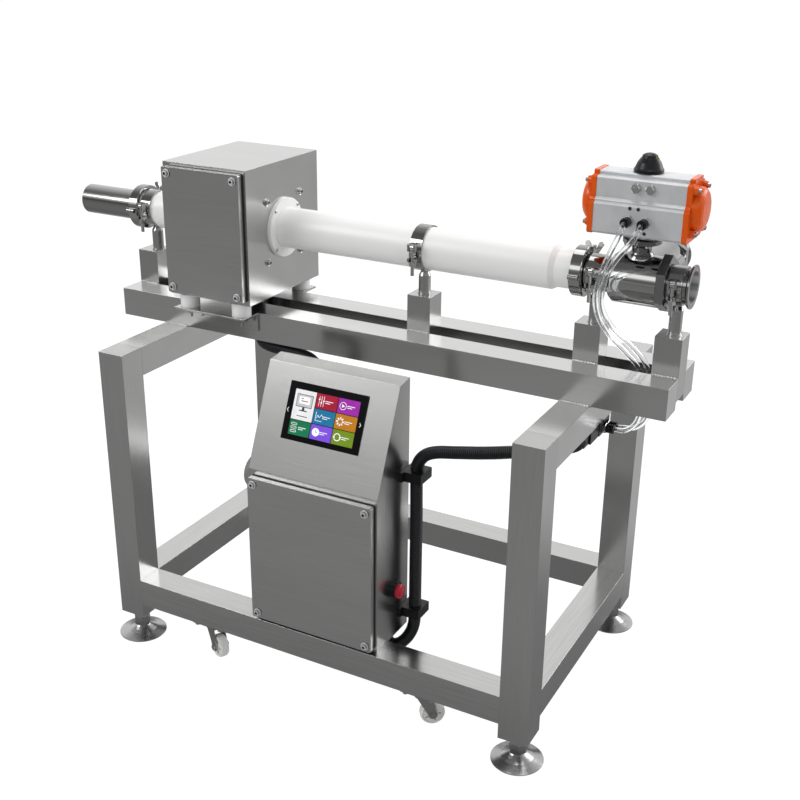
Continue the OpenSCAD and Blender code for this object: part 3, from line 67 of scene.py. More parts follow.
# The casters, with the height of an axle and how far it trails
CASTER_X, CASTER_Y, AXLE_Z, TRAIL = (-197.75, 304.25), 271.0, 35.0, 18.0

# Pairs of signs for what stands on four corners
CORNERS = ((-1, -1), (-1, 1), (1, -1), (1, 1))


def V(x, y, z):
    """Point in metres from millimetres."""
    return Vector((x, y, z)) * MM


# Camera, fitted to the photograph
AZIMUTH, ELEVATION, ROLL = math.radians(27.98), math.radians(22.35), math.radians(0.62)
CAMERA_AT = (1159.45, -1992.2, 1488.8)
SENSOR_WIDTH, LENS, CLIP_END = 36, 53.12, 200
flat = math.cos(ELEVATION)
back = Vector((math.sin(AZIMUTH) * flat, -math.cos(AZIMUTH) * flat, math.sin(ELEVATION)))
right = (-back).cross(Vector((0, 0, 1))).normalized()
up = right.cross(-back)
cam_x = math.cos(ROLL) * right + math.sin(ROLL) * up
cam_y = -math.sin(ROLL) * right + math.cos(ROLL) * up
camera = bpy.data.objects.new("camera", bpy.data.cameras.new("camera"))
bpy.context.scene.collection.objects.link(camera)
turn = Matrix((cam_x, cam_y, back)).transposed().to_4x4()
camera.matrix_world = Matrix.Translation(V(*CAMERA_AT)) @ turn
camera.data.sensor_width = SENSOR_WIDTH
camera.data.lens = LENS
camera.data.clip_end = CLIP_END
bpy.context.scene.camera = camera


# Routes of the two air tubes and the two conduits
FRONT_TUBE = [(566.2, -60, 1005.5), (566.2, -69, 1005.4), (566, -78, 1000), (563, -82, 986),
    (552, -83, 959), (542, -82, 933), (534, -80, 905), (528, -76, 876), (528, -68, 848),
    (536, -54, 816), (553, -36, 786), (574, -18, 758), (592, -4, 732), (601, 6, 700),
    (604, 14, 664), (601, 20, 632), (592, 21, 604), (576, 20, 589), (558, 20, 585.2),
    (546, 20, 585)]
REAR_TUBE = [(596.2, -60, 1005.5), (596.2, -69, 1005.4), (595.5, -79, 1000), (590, -84, 985),
    (574, -86, 962), (560, -88, 940), (549, -88, 914), (542, -84, 884), (540, -76, 857),
    (547, -60, 828), (562, -41, 800), (584, -21, 773), (604, -7, 746), (616, 2, 716),
    (621, 10, 684), (620, 18, 656), (615, 29, 630), (604, 35, 604), (586, 36, 590), (560, 36, 585.2),
    (546, 36, 585)]
POWER_ROUTE = [(176, -190, 146), (176, -190, 127), (179, -189, 114), (188, -187, 105.5),
    (200, -184, 108), (212, -181, 118), (222, -177, 133), (229, -174, 152), (232, -173, 176),
    (232, -173, 220), (232, -173, 300), (232, -173, 400), (232, -173, 508), (236, -173, 524),
    (248, -172, 539), (268, -171, 549), (310, -170, 558), (370, -168, 570), (430, -158, 582),
    (474, -138, 588), (499, -115, 588), (514, -97, 588), (518, -85, 588), (518, -74.6, 588)]
HEAD_ROUTE = [(-245, 0, 750), (-245, 0, 728), (-245, 0, 706), (-245, 0, 684), (-244, -1, 666),
    (-237, -8, 651), (-218, -27, 643), (-190, -47, 645), (-160, -60, 648), (-126, -69, 650),
    (-95, -71, 649), (-70, -71, 643), (-51, -76, 630), (-42, -88, 612), (-40, -108, 598),
    (-40, -130, 592), (-40, -156, 592)]


# Points taken between two points of a route
SPAN_STEPS = 24


def smooth_path(points, step):
    """Evenly spaced points, in metres, on one smooth curve through the given points."""
    p = [V(*q) for q in points]
    p = [2 * p[0] - p[1]] + p + [2 * p[-1] - p[-2]]
    dense = []
    for i in range(1, len(p) - 2):
        a, b, c, d = p[i - 1:i + 3]
        ta = (b - a).length ** 0.5
        tb = ta + (c - b).length ** 0.5
        tc = tb + (d - c).length ** 0.5
        for k in range(SPAN_STEPS):
            t = ta + (tb - ta) * k / SPAN_STEPS
            a1 = a * (ta - t) / ta + b * t / ta
            a2 = b * (tb - t) / (tb - ta) + c * (t - ta) / (tb - ta)
            a3 = c * (tc - t) / (tc - tb) + d * (t - tb) / (tc - tb)
            b1 = a1 * (tb - t) / tb + a2 * t / tb
            b2 = a2 * (tc - t) / (tc - ta) + a3 * (t - ta) / (tc - ta)
            dense.append(b1 * (tb - t) / (tb - ta) + b2 * (t - ta) / (tb - ta))
    dense.append(p[-2])
    length = [0.0]
    for a, b in zip(dense, dense[1:]):
        length.append(length[-1] + (b - a).length)
    count = max(2, round(length[-1] / (step * MM)))
    out, j = [], 0
    for i in range(count + 1):
        s = length[-1] * i / count
        while j < len(dense) - 2 and length[j + 1] < s:
            j += 1
        f = (s - length[j]) / max(length[j + 1] - length[j], 1e-12)
        out.append(dense[j].lerp(dense[j + 1], min(max(f, 0), 1)))
    return out, length[-1]


def rings(bm, path, radii, sides):
    """Rings of vertices round a path, without twist."""
    made = []
    side = None
    for i, p in enumerate(path):
        along = (path[min(i + 1, len(path) - 1)] - path[max(i - 1, 0)]).normalized()
        if side is None:
            across = Vector((0, 0, 1)) if abs(along.z) < 0.9 else Vector((1, 0, 0))
            side = along.cross(across).normalized()
        side = (side - side.dot(along) * along).normalized()
        other = along.cross(side)
        r = radii[i] * MM
        made.append([bm.verts.new(p + r * (math.cos(a) * side + math.sin(a) * other))
            for a in (2 * math.pi * k / sides for k in range(sides))])
    return made


def skin(bm, rows, material=0, flip=False):
    """Wall between rings of vertices that follow each other."""
    n = len(rows[0])
    for a, b in zip(rows, rows[1:]):
        for k in range(n):
            quad = [a[k], a[(k + 1) % n], b[(k + 1) % n], b[k]]
            bm.faces.new(quad[::-1] if flip else quad).material_index = material


def end_faces(bm, rows):
    """Flat ends on the first and the last ring."""
    bm.faces.new(rows[0][::-1])
    bm.faces.new(rows[-1])


BEVEL_STEPS, BEVEL_ANGLE = 2, 40


def place(mesh_name, bm, materials, body, sharp=35, bevel=0):
    """Turns the bmesh into a piece that rides on a body."""
    mesh = bpy.data.meshes.new(mesh_name)
    bmesh.ops.remove_doubles(bm, verts=bm.verts, dist=1e-6)
    bmesh.ops.recalc_face_normals(bm, faces=bm.faces)
    bm.to_mesh(mesh)
    bm.free()
    for m in materials:
        mesh.materials.append(m)
    for f in mesh.polygons:
        f.use_smooth = True
    mesh.set_sharp_from_angle(angle=math.radians(sharp))
    obj = bpy.data.objects.new(mesh_name, mesh)
    bpy.context.scene.collection.objects.link(obj)
    if bevel:
        mod = obj.modifiers.new("bevel", "BEVEL")
        mod.width = bevel * MM
        mod.segments = BEVEL_STEPS
        mod.limit_method = "ANGLE"
        mod.angle_limit = math.radians(BEVEL_ANGLE)
    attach(obj, body)
    return obj


# Shader helpers: a value is a number or colour, or the socket that gives it
MIX_SOCKETS = {"FLOAT": (2, 3, 0), "RGBA": (6, 7, 2)}


def feed(tree, socket, value):
    """Gives an input its value, or links the socket that gives it."""
    if isinstance(value, bpy.types.NodeSocket):
        tree.links.new(value, socket)
    else:
        socket.default_value = value


def joined(tree, kind, *values):
    """Result of one math node."""
    node = tree.nodes.new("ShaderNodeMath")
    node.operation = kind
    for socket, value in zip(node.inputs, values):
        feed(tree, socket, value)
    return node.outputs[0]


def mixed(tree, kind, share, a, b, mode="MIX"):
    """Mix of two numbers or two colours."""
    node = tree.nodes.new("ShaderNodeMix")
    node.data_type = kind
    node.blend_type = mode
    first, second, result = MIX_SOCKETS[kind]
    for index, value in ((0, share), (first, a), (second, b)):
        feed(tree, node.inputs[index], value)
    return node.outputs[result]


def ranged(tree, source, low, high, first, last, smooth=False):
    """Value that goes from first to last while the source goes from low to high."""
    node = tree.nodes.new("ShaderNodeMapRange")
    node.interpolation_type = "SMOOTHSTEP" if smooth else "LINEAR"
    for name, value in (("From Min", low), ("From Max", high), ("To Min", first), ("To Max", last)):
        node.inputs[name].default_value = value
    tree.links.new(source, node.inputs["Value"])
    return node.outputs["Result"]


def banded(tree, source, bands, colour=(1.0, 1.0, 1.0)):
    """Colour toned by pairs of place and brightness along the source."""
    ramp = tree.nodes.new("ShaderNodeValToRGB")
    tree.links.new(source, ramp.inputs["Fac"])
    elements = ramp.color_ramp.elements
    while len(elements) < len(bands):
        elements.new(0.5)
    for element, (position, bright) in zip(elements, bands):
        element.position = position
        element.color = (*(c * bright for c in colour), 1)
    return ramp.outputs["Color"]


def coordinates(tree, kind):
    """X, Y and Z of one kind of coordinate."""
    where = tree.nodes.new("ShaderNodeTexCoord")
    split = tree.nodes.new("ShaderNodeSeparateXYZ")
    tree.links.new(where.outputs[kind], split.inputs[0])
    return split.outputs


class Nodes:
    """Small helper round one material's node tree."""

    def __init__(self, name):
        self.mat = bpy.data.materials.new(name)
        self.mat.use_nodes = True
        self.tree = self.mat.node_tree
        self.bsdf = self.tree.nodes["Principled BSDF"]

    def new(self, kind, **values):
        """Node with some inputs or settings given."""
        node = self.tree.nodes.new(kind)
        for k, v in values.items():
            if k in node.inputs:
                node.inputs[k].default_value = v
            else:
                setattr(node, k, v)
        return node

    def noise(self, scale, stretch, detail):
        """Noise in the piece's own space, closer where the stretch is larger."""
        where = self.new("ShaderNodeTexCoord")
        mapping = self.new("ShaderNodeMapping")
        mapping.inputs["Scale"].default_value = stretch
        self.tree.links.new(where.outputs["Object"], mapping.inputs["Vector"])
        noise = self.new("ShaderNodeTexNoise", Scale=scale, Detail=detail)
        self.tree.links.new(mapping.outputs["Vector"], noise.inputs["Vector"])
        return noise.outputs["Fac"]

    def ramp(self, fac, low, high, a=0.3, b=0.7):
        """Colour from low at a to high at b."""
        ramp = self.new("ShaderNodeValToRGB")
        for element, position, colour in zip(ramp.color_ramp.elements, (a, b), (low, high)):
            element.position = position
            element.color = (*colour, 1)
        self.tree.links.new(fac, ramp.inputs["Fac"])
        return ramp.outputs["Color"]

    def spread(self, fac, low, high):
        """Number from low to high with the noise."""
        return ranged(self.tree, fac, 0.0, 1.0, low, high)

    def toned(self, colour, tone):
        """Colour times tone."""
        return mixed(self.tree, "RGBA", 1.0, colour, tone, "MULTIPLY")

    def bump(self, height, strength, distance, round_edges=0.0):
        """Relief on the surface, with edges that catch light as if rounded."""
        bump = self.new("ShaderNodeBump", Strength=strength, Distance=distance)
        self.tree.links.new(height, bump.inputs["Height"])
        if round_edges:
            bevel = self.new("ShaderNodeBevel", samples=4)
            bevel.inputs["Radius"].default_value = round_edges * MM
            self.tree.links.new(bevel.outputs["Normal"], bump.inputs["Normal"])
        self.tree.links.new(bump.outputs["Normal"], self.bsdf.inputs["Normal"])

    def set(self, **values):
        """Inputs of the surface, with underscores for the spaces in their names."""
        for k, v in values.items():
            feed(self.tree, self.bsdf.inputs[k.replace("_", " ")], v)


def shade(colour, factor):
    """Colour made lighter or darker."""
    return tuple(min(1.0, c * factor) for c in colour)


# Materials
STEEL = (0.52, 0.52, 0.515)
LINE_BUMP, LINE_DEPTH, SOFT_EDGE = 0.05, 0.0004, 1.2
GRAIN_DEPTH, POLISH_DEPTH = 0.0005, 0.002
# Heights of the normal between which a face turns into a top, for the painted highlight and painted
# shade of tops
PAINTED_TOP_RANGE = (0.7, 0.9)
# Painted reflection on polished steel: its tone against the height of its normal, from facing down to
# facing up
PAINTED_REFLECTION_BANDS = ((0.0, 0.5), (0.3, 0.95), (0.52, 0.8), (0.62, 1.5), (0.7, 1.3), (0.78, 0.55), (0.9, 0.42),
    (1.0, 0.6))


def plain(name, colour, rough, metallic=0.0, grain=60.0, vary=0.08, bump=0.05, stretch=(1, 1, 1),
        edges=0.0, **more):
    """A material whose colour, roughness and bump vary a little with noise."""
    m = Nodes(name)
    cloud = m.noise(grain * 0.12, stretch, 4)
    fine = m.noise(grain * 10, stretch, 2)
    m.set(Base_Color=m.ramp(cloud, shade(colour, 1 - vary), shade(colour, 1 + vary)),
        Roughness=m.spread(cloud, rough * 0.85, rough * 1.15), Metallic=metallic, **more)
    m.bump(fine, bump, GRAIN_DEPTH, edges)
    return m.mat


def brushed(name, colour, rough, along, top=1.0):
    """Brushed steel: fine lines along one axis, blurred streaks, and a painted highlight: faces that
    look up times top.
    """
    m = Nodes(name)
    lines = m.noise(12, tuple(1.0 if i == along else 60.0 for i in range(3)), 4)
    streaks = m.noise(2.2, tuple(1.0 if i == along else 4.0 for i in range(3)), 2)
    grain = mixed(m.tree, "FLOAT", 0.5, lines, streaks)
    steel = m.ramp(grain, shade(colour, 0.94), shade(colour, 1.06), 0.35, 0.65)
    # Painted highlight: faces that look up are made brighter by the factor top
    tone = m.ramp(coordinates(m.tree, "Normal")["Z"], (1, 1, 1), (top, top, top), *PAINTED_TOP_RANGE)
    m.set(Base_Color=m.toned(steel, tone), Roughness=m.spread(grain, rough * 0.88, rough * 1.12),
        Metallic=1.0)
    m.bump(lines, LINE_BUMP, LINE_DEPTH, SOFT_EDGE)
    return m.mat


def two_way(name, limit, upper, top):
    """Brushed along X outside |y| = limit and along Y between, with painted shade on the tops above z =
    upper, toned by top.
    """
    m = Nodes(name)
    at = coordinates(m.tree, "Object")
    outside = joined(m.tree, "GREATER_THAN", joined(m.tree, "ABSOLUTE", at["Y"]), limit * MM)
    along_x, along_y = m.noise(9, (1, 42, 42), 4), m.noise(9, (42, 1, 42), 4)
    lines = mixed(m.tree, "FLOAT", outside, along_y, along_x)
    steel = m.ramp(lines, shade(STEEL, 0.95), shade(STEEL, 1.05), 0.35, 0.65)
    # Painted shade: tops above z = upper are darkened by the factor top
    high = joined(m.tree, "GREATER_THAN", at["Z"], upper * MM)
    painted_shade_top = joined(m.tree, "MULTIPLY", high, coordinates(m.tree, "Normal")["Z"])
    tone = m.ramp(painted_shade_top, (1, 1, 1), (top, top, top), *PAINTED_TOP_RANGE)
    m.set(Base_Color=m.toned(steel, tone), Roughness=m.spread(lines, 0.18, 0.24), Metallic=1.0)
    m.bump(lines, LINE_BUMP, LINE_DEPTH, SOFT_EDGE)
    return m.mat


def chrome(name, colour, rough, wave):
    """Polished steel with a painted reflection of dark and bright bands by the height of the normal, and
    the faint waves of hand polishing along X.
    """
    m = Nodes(name)
    cloud = m.noise(5, (1, 4, 4), 3)
    waves = m.noise(9, (0.35, 4, 4), 2)
    height = ranged(m.tree, coordinates(m.tree, "Normal")["Z"], -1.0, 1.0, 0.0, 1.0)
    # Painted reflection: the colour is banded by which way the face looks
    steel = banded(m.tree, height, PAINTED_REFLECTION_BANDS, colour)
    m.set(Base_Color=m.toned(steel, m.ramp(cloud, (0.85, 0.85, 0.85), (1, 1, 1))),
        Roughness=m.spread(cloud, rough * 0.8, rough * 1.2), Metallic=1.0)
    m.bump(waves, wave, POLISH_DEPTH, 0.6)
    return m.mat


def paint_bore_glow(material, axis_z, reach, x0, x1):
    """Adds painted light to the end of a tube along X: a pale glow on its inner wall, brightest at x1.
    """
    tree = material.node_tree
    bsdf = tree.nodes["Principled BSDF"]
    at = coordinates(tree, "Object")
    y, z = at["Y"], joined(tree, "SUBTRACT", at["Z"], axis_z * MM)
    squares = [joined(tree, "MULTIPLY", side, side) for side in (y, z)]
    radius = joined(tree, "SQRT", joined(tree, "ADD", *squares))
    inner = joined(tree, "LESS_THAN", radius, reach * MM)
    near = ranged(tree, at["X"], x0 * MM, x1 * MM, 0.0, 1.0)
    wave = joined(tree, "SINE", joined(tree, "MULTIPLY", joined(tree, "ARCTAN2", z, y), 7.0))
    tone = joined(tree, "MULTIPLY_ADD", wave, 0.35, 0.6)
    glow = joined(tree, "MULTIPLY", joined(tree, "MULTIPLY", near, tone), inner)
    feed(tree, bsdf.inputs["Emission Strength"], joined(tree, "MULTIPLY", glow, 0.3))
    feed(tree, bsdf.inputs["Emission Color"], (0.75, 0.75, 0.75, 1))


# Name, colour, roughness and the axis of the lines
steel_x = brushed("steel_brushed_x", STEEL, 0.22, 0)
steel_z = brushed("steel_brushed_z", STEEL, 0.22, 2)
sheet_steel = brushed("sheet_steel_brushed", STEEL, 0.24, 0)
door_steel = brushed("door_steel_brushed", (0.53, 0.53, 0.525), 0.26, 0)
# Painted highlight: the beam tops are 8 % lighter than their sides
beam_steel = brushed("beam_steel_brushed", (0.54, 0.54, 0.535), 0.20, 0, top=1.08)
post_steel = brushed("post_steel_brushed", (0.46, 0.46, 0.455), 0.20, 2)
# Painted shade: the tops of the rail steel above 600 mm take 0.58 of their colour
rail_steel = two_way("rail_steel_brushed", STAND_Y - SQUARE, 600.0, 0.58)
# Name, colour, roughness and depth of the waves
polished = chrome("steel_polished", (0.54, 0.54, 0.535), 0.05, 0.25)
hex_steel = chrome("hexagon_polished", (0.36, 0.36, 0.36), 0.08, 0.3)
# Painted light: a glow on the inner wall of the valve's outlet
paint_bore_glow(hex_steel, PIPE_Z, 30.6, 628.0, 684.0)
neck_steel = chrome("neck_polished", (0.27, 0.27, 0.27), 0.1, 0.2)
# Name, colour, roughness, share of metal, fineness of the grain, variation and relief
tube_polished = plain("tube_polished", (0.36, 0.36, 0.355), 0.15, 1.0, 40, 0.04, 0.02,
    stretch=(1, 12, 12), edges=0.4)
bolt_steel = plain("bolt_steel", (0.55, 0.55, 0.54), 0.14, 1.0, 90, 0.1, 0.06, edges=0.3)
zinc = plain("zinc_plated", (0.42, 0.42, 0.42), 0.34, 1.0, 80, 0.12, 0.1, edges=0.4)
cast = plain("foot_steel", (0.42, 0.42, 0.42), 0.22, 1.0, 70, 0.16, 0.15, edges=0.8)
bead_steel = plain("weld_steel", (0.62, 0.61, 0.58), 0.24, 1.0, 120, 0.3, 0.3)
aluminium = plain("anodised_aluminium", (0.66, 0.67, 0.68), 0.45, 0.45, 300, 0.05, 0.14, edges=0.5)
white = plain("white_plastic", (0.85, 0.85, 0.845), 0.32, 0, 30, 0.02, 0.03, edges=0.6)
wheel_white = plain("wheel_white", (0.78, 0.78, 0.76), 0.45, 0, 60, 0.05, 0.08)
black = plain("black_plastic", (0.006, 0.0065, 0.008), 0.3, 0, 120, 0.2, 0.1, edges=0.4,
    Specular_IOR_Level=0.28)
# Painted highlight: a lighter black for the crests of the ribs
conduit_crest_highlight = plain("conduit_crest_highlight", (0.02, 0.022, 0.026), 0.3, 0, 90, 0.15, 0.05)
conduit_black = plain("conduit_black", (0.006, 0.007, 0.009), 0.36, 0, 90, 0.25, 0.08,
    Specular_IOR_Level=0.3)
rubber = plain("seal_rubber", (0.03, 0.03, 0.03), 0.65, 0, 150, 0.2, 0.2)
copper = plain("copper_wire", (0.72, 0.36, 0.2), 0.35, 1.0, 200, 0.12, 0.3, stretch=(30, 1, 1))
orange = plain("orange_paint", (0.72, 0.092, 0.003), 0.17, 0, 50, 0.04, 0.05, edges=0.8,
    Specular_IOR_Level=0.3)
red = plain("red_plastic", (0.42, 0.012, 0.035), 0.28, 0, 60, 0.06, 0.04, edges=0.4)
yellow = plain("yellow_mark", (0.75, 0.82, 0.03), 0.4, 0, 60, 0.05, 0.05)
grey = plain("grey_plastic", (0.2, 0.2, 0.2), 0.5, 0, 90, 0.08, 0.12, edges=0.4)
blue = plain("blue_plastic", (0.03, 0.12, 0.45), 0.35, 0, 60, 0.08, 0.05)
board = plain("green_board", (0.02, 0.16, 0.07), 0.4, 0, 200, 0.15, 0.1)
glass = plain("screen_glass", (0.003, 0.003, 0.004), 0.2, 0, 20, 0.1, 0.01, Specular_IOR_Level=0.08)
# Painted shade: near black put in holes, sockets and gaps
shade_black = plain("painted_shade_black", (0.01, 0.01, 0.01), 0.8, 0, 60, 0.1, 0.05)
clear = plain("clear_tube", (0.97, 0.98, 0.98), 0.03, 0, 40, 0.02, 0.0, Transmission_Weight=1.0,
    IOR=1.32)

# Material of each solid of the part
FINISH = {
    "stand_legs": steel_z, "stand_rails": rail_steel, "stand_beams": beam_steel,
    "pipe_posts": post_steel, "holder_caps": polished, "holder_bolts": bolt_steel,
    "clamp_halves": polished, "inlet_bolt": bolt_steel, "outlet_bolt": bolt_steel,
    "inlet_wing_nut": bolt_steel, "outlet_wing_nut": bolt_steel, "inlet_tube": tube_polished,
    "product_pipe": white, "pipe_flanges": white, "head_housing": sheet_steel,
    "head_cover": door_steel, "head_feet": white, "head_brackets": steel_x, "coil_former": white,
    "search_coils": copper, "cover_seals": rubber, "cover_screws": bolt_steel,
    "valve_body": polished, "valve_end": hex_steel, "valve_ball": polished,
    "valve_stem": bolt_steel, "actuator_bracket": neck_steel, "actuator_body": aluminium,
    "actuator_caps": orange, "left_piston": aluminium, "right_piston": aluminium,
    "drive_pinion": zinc, "position_indicator": black, "air_fittings": black,
    "solenoid_valve": black, "cabinet_body": sheet_steel, "cabinet_door": door_steel,
    "touch_screen": glass, "button_housing": black, "stop_button": red, "alarm_sounder": grey,
    "power_supply": zinc, "control_board": board, "conduit_fittings": black,
    "front_air_tube": clear, "rear_air_tube": clear, "power_conduit": conduit_black,
    "head_conduit": conduit_black,
}
for corner in ("front_left", "front_right", "rear_left", "rear_right"):
    FINISH[corner + "_foot"] = cast
    FINISH[corner + "_fork"] = zinc
    FINISH[corner + "_wheel"] = wheel_white
for name, material in FINISH.items():
    mesh = nodes[name].data
    mesh.materials.clear()
    mesh.materials.append(material)


# Cord pieces
TUBE_R, BORE_R, TUBE_SIDES = 5.0, 3.3, 20
RIB_R, GROOVE_R, CONDUIT_SIDES = 12.5, 10.8, 22


def hose(name, route, node):
    """Clear tube with its bore, from one push-in fitting to another."""
    path, length = smooth_path(route, 3.0)
    bm = bmesh.new()
    outer = rings(bm, path, [TUBE_R] * len(path), TUBE_SIDES)
    inner = rings(bm, path, [BORE_R] * len(path), TUBE_SIDES)
    skin(bm, outer)
    skin(bm, inner, flip=True)
    skin(bm, [outer[0], inner[0]], flip=True)
    skin(bm, [outer[-1], inner[-1]])
    piece = place(name, bm, [clear], "machine")
    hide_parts(node)


def ribbed(name, route, node):
    """Corrugated conduit: square ribs every 4 mm, with a painted highlight: the crests take a lighter,
    shinier black.
    """
    path, length = smooth_path(route, 1.0)
    profile = (RIB_R, RIB_R, GROOVE_R, GROOVE_R)
    bm = bmesh.new()
    rows = rings(bm, path, [profile[i % 4] for i in range(len(path))], CONDUIT_SIDES)
    for i, (a, b) in enumerate(zip(rows, rows[1:])):
        skin(bm, [a, b], 1 if i % 4 == 0 else 0)
    end_faces(bm, rows)
    piece = place(name, bm, [conduit_black, conduit_crest_highlight], "machine", sharp=60)
    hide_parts(node)


hose("front_air_hose", FRONT_TUBE, "front_air_tube")
hose("rear_air_hose", REAR_TUBE, "rear_air_tube")
ribbed("power_conduit_ribbed", POWER_ROUTE, "power_conduit")
ribbed("head_conduit_ribbed", HEAD_ROUTE, "head_conduit")


# Small solids
def facing(origin, axis, spin=0.0):
    """Matrix that takes +Z to the axis at a place in millimetres."""
    z = Vector(axis).normalized()
    m = z.to_track_quat("Z", "Y").to_matrix().to_4x4()
    return Matrix.Translation(V(*origin)) @ m @ Matrix.Rotation(spin, 4, "Z")


def lathe(bm, profile, where, sides=32, material=0):
    """Round solid from (radius, height) pairs in millimetres along the matrix's Z."""
    rows = []
    for r, h in profile:
        rows.append([bm.verts.new(where @ (Vector((r * math.cos(a), r * math.sin(a), h)) * MM))
            for a in (2 * math.pi * k / sides for k in range(sides))] if r > 0
            else [bm.verts.new(where @ (Vector((0, 0, h)) * MM))])
    for a, b in zip(rows, rows[1:]):
        for k in range(sides):
            n = (k + 1) % sides
            ring = [a[k % len(a)], a[n % len(a)], b[n % len(b)], b[k % len(b)]]
            corners = [v for i, v in enumerate(ring) if v not in ring[:i]]
            if len(corners) > 2:
                bm.faces.new(corners).material_index = material


def disc(bm, where, r, low, high, sides=32, material=0):
    """Flat round plate between two heights."""
    lathe(bm, [(0, low), (r, low), (r, high), (0, high)], where, sides, material)


def prism(bm, outline, where, depth, material=0):
    """Flat outline in the matrix's XY, raised by depth along its Z."""
    low = [bm.verts.new(where @ (Vector((x, y, 0)) * MM)) for x, y in outline]
    high = [bm.verts.new(where @ (Vector((x, y, depth)) * MM)) for x, y in outline]
    n = len(outline)
    bm.faces.new(low[::-1]).material_index = material
    bm.faces.new(high).material_index = material
    for k in range(n):
        side = [low[k], low[(k + 1) % n], high[(k + 1) % n], high[k]]
        bm.faces.new(side).material_index = material


def rounded(w, h, r, steps=5):
    """Rectangle outline with round corners, centred."""
    out = []
    dx, dy = w / 2 - r, h / 2 - r
    for cx, cy, start in ((dx, dy, 0), (-dx, dy, 90), (-dx, -dy, 180), (dx, -dy, 270)):
        for k in range(steps + 1):
            a = math.radians(start + 90 * k / steps)
            out.append((cx + r * math.cos(a), cy + r * math.sin(a)))
    return out


def circle(r, n=24):
    """Round outline, centred."""
    return [(r * math.cos(2 * math.pi * k / n), r * math.sin(2 * math.pi * k / n)) for k in range(n)]


def hex_bolt(bm, origin, axis, flats, height, washer=0.0, spin=0.3, material=0):
    """Washer and chamfered hexagon head that stand on a face."""
    where = facing(origin, axis, spin)
    base = 0.0
    if washer:
        rim = [(0, 0), (washer, 0), (washer, 1.2), (washer - 0.4, 1.6), (0, 1.6)]
        lathe(bm, rim, where, 32, material)
        base = 1.55
    r = flats / 2 / math.cos(math.pi / 6)
    top = base + height
    head = [(0, base), (r, base), (r, top - height * 0.18), (flats / 2 * 0.93, top), (0, top)]
    lathe(bm, head, where, 6, material)


def socket_screw(bm, origin, axis, r, height, material=0, dark=1):
    """Round head with a hexagon socket in painted shade: its walls and floor take the dark material."""
    where = facing(origin, axis)
    rim, floor_at = r * 0.52, height * 0.45
    edge = [(0, 0), (r, 0), (r, height - 0.6), (r - 0.6, height), (rim, height), (rim, height - 0.1)]
    lathe(bm, edge, where, 28, material)
    # Painted shade: the socket's walls and floor take the dark material
    lathe(bm, [(rim, height - 0.1), (r * 0.5, floor_at), (0, floor_at)], where, 6, dark)


def cap_screw(bm, origin, axis, washer, r, height):
    """Socket head screw on a dished washer, with a dark ring of painted shade round the head."""
    where = facing(origin, axis)
    dish = [(0, 0), (washer, 0), (washer, 0.9), (washer - 0.7, 1.5), (r + 0.7, 1.1), (r + 0.3, 0.9),
        (0, 0.9)]
    lathe(bm, dish, where)
    # Painted shade: a dark ring in the gap between head and washer
    lathe(bm, [(r + 0.55, 0.95), (r + 0.55, 1.15), (0, 1.15)], where, 32, 1)
    socket_screw(bm, origin, axis, r, height)


# Socket screws on both sides of the search head, and screws in the white flanges
FLANGE_SCREW = [(0, 0), (4.0, 0), (4.0, 0.9), (3.0, 1.7), (1.6, 2.0), (0, 2.0)]
FLANGE_THICK = 8
SIDE_Y, SIDE_Z, FLANGE_AT = 61, 62, 40
bm = bmesh.new()
small = bmesh.new()
for sign, x in ((1, HEAD_X1), (-1, HEAD_X0)):
    for sy, sz in CORNERS:
        cap_screw(bm, (x, sy * SIDE_Y, PIPE_Z + sz * SIDE_Z), (sign, 0, 0), 8.4, 5.6, 6.2)
        on_flange = (x + sign * FLANGE_THICK, sy * FLANGE_AT, PIPE_Z + sz * FLANGE_AT)
        lathe(small, FLANGE_SCREW, facing(on_flange, (sign, 0, 0)), 20)
place("head_side_bolts", bm, [bolt_steel, shade_black], "machine", bevel=0.2)
place("flange_screws", small, [bolt_steel], "machine")

# White pads, nuts and stud ends under the head brackets, and the bolts that hold the brackets on
# the long beams
BRACKET_THICK, PAD_THICK = 4, 4.4
bm = bmesh.new()
for sx, sy in CORNERS:
    x, y = HEAD_MID + sx * 65, sy * 112
    where = facing((x, y, BEAM_TOP - BRACKET_THICK), (0, 0, -1))
    lathe(bm, [(0, 0), (13, 0), (13, 3.4), (12, PAD_THICK), (0, PAD_THICK)], where, 36, 1)
    hex_bolt(bm, (x, y, BEAM_TOP - BRACKET_THICK - PAD_THICK), (0, 0, -1), 13, 6.5, 9, 0.2)
    lathe(bm, [(0, 12), (3.9, 12), (3.9, 19), (3.2, 20), (0, 20)], where, 20)
for sx, sy in CORNERS:
    at = (HEAD_MID + sx * 55, sy * (BEAM_OUT + BRACKET_THICK), BEAM_TOP - 22)
    hex_bolt(bm, at, (0, sy, 0), 10, 4, 6.5, 0.1)
place("bracket_bolts", bm, [bolt_steel, white], "machine", bevel=0.25)

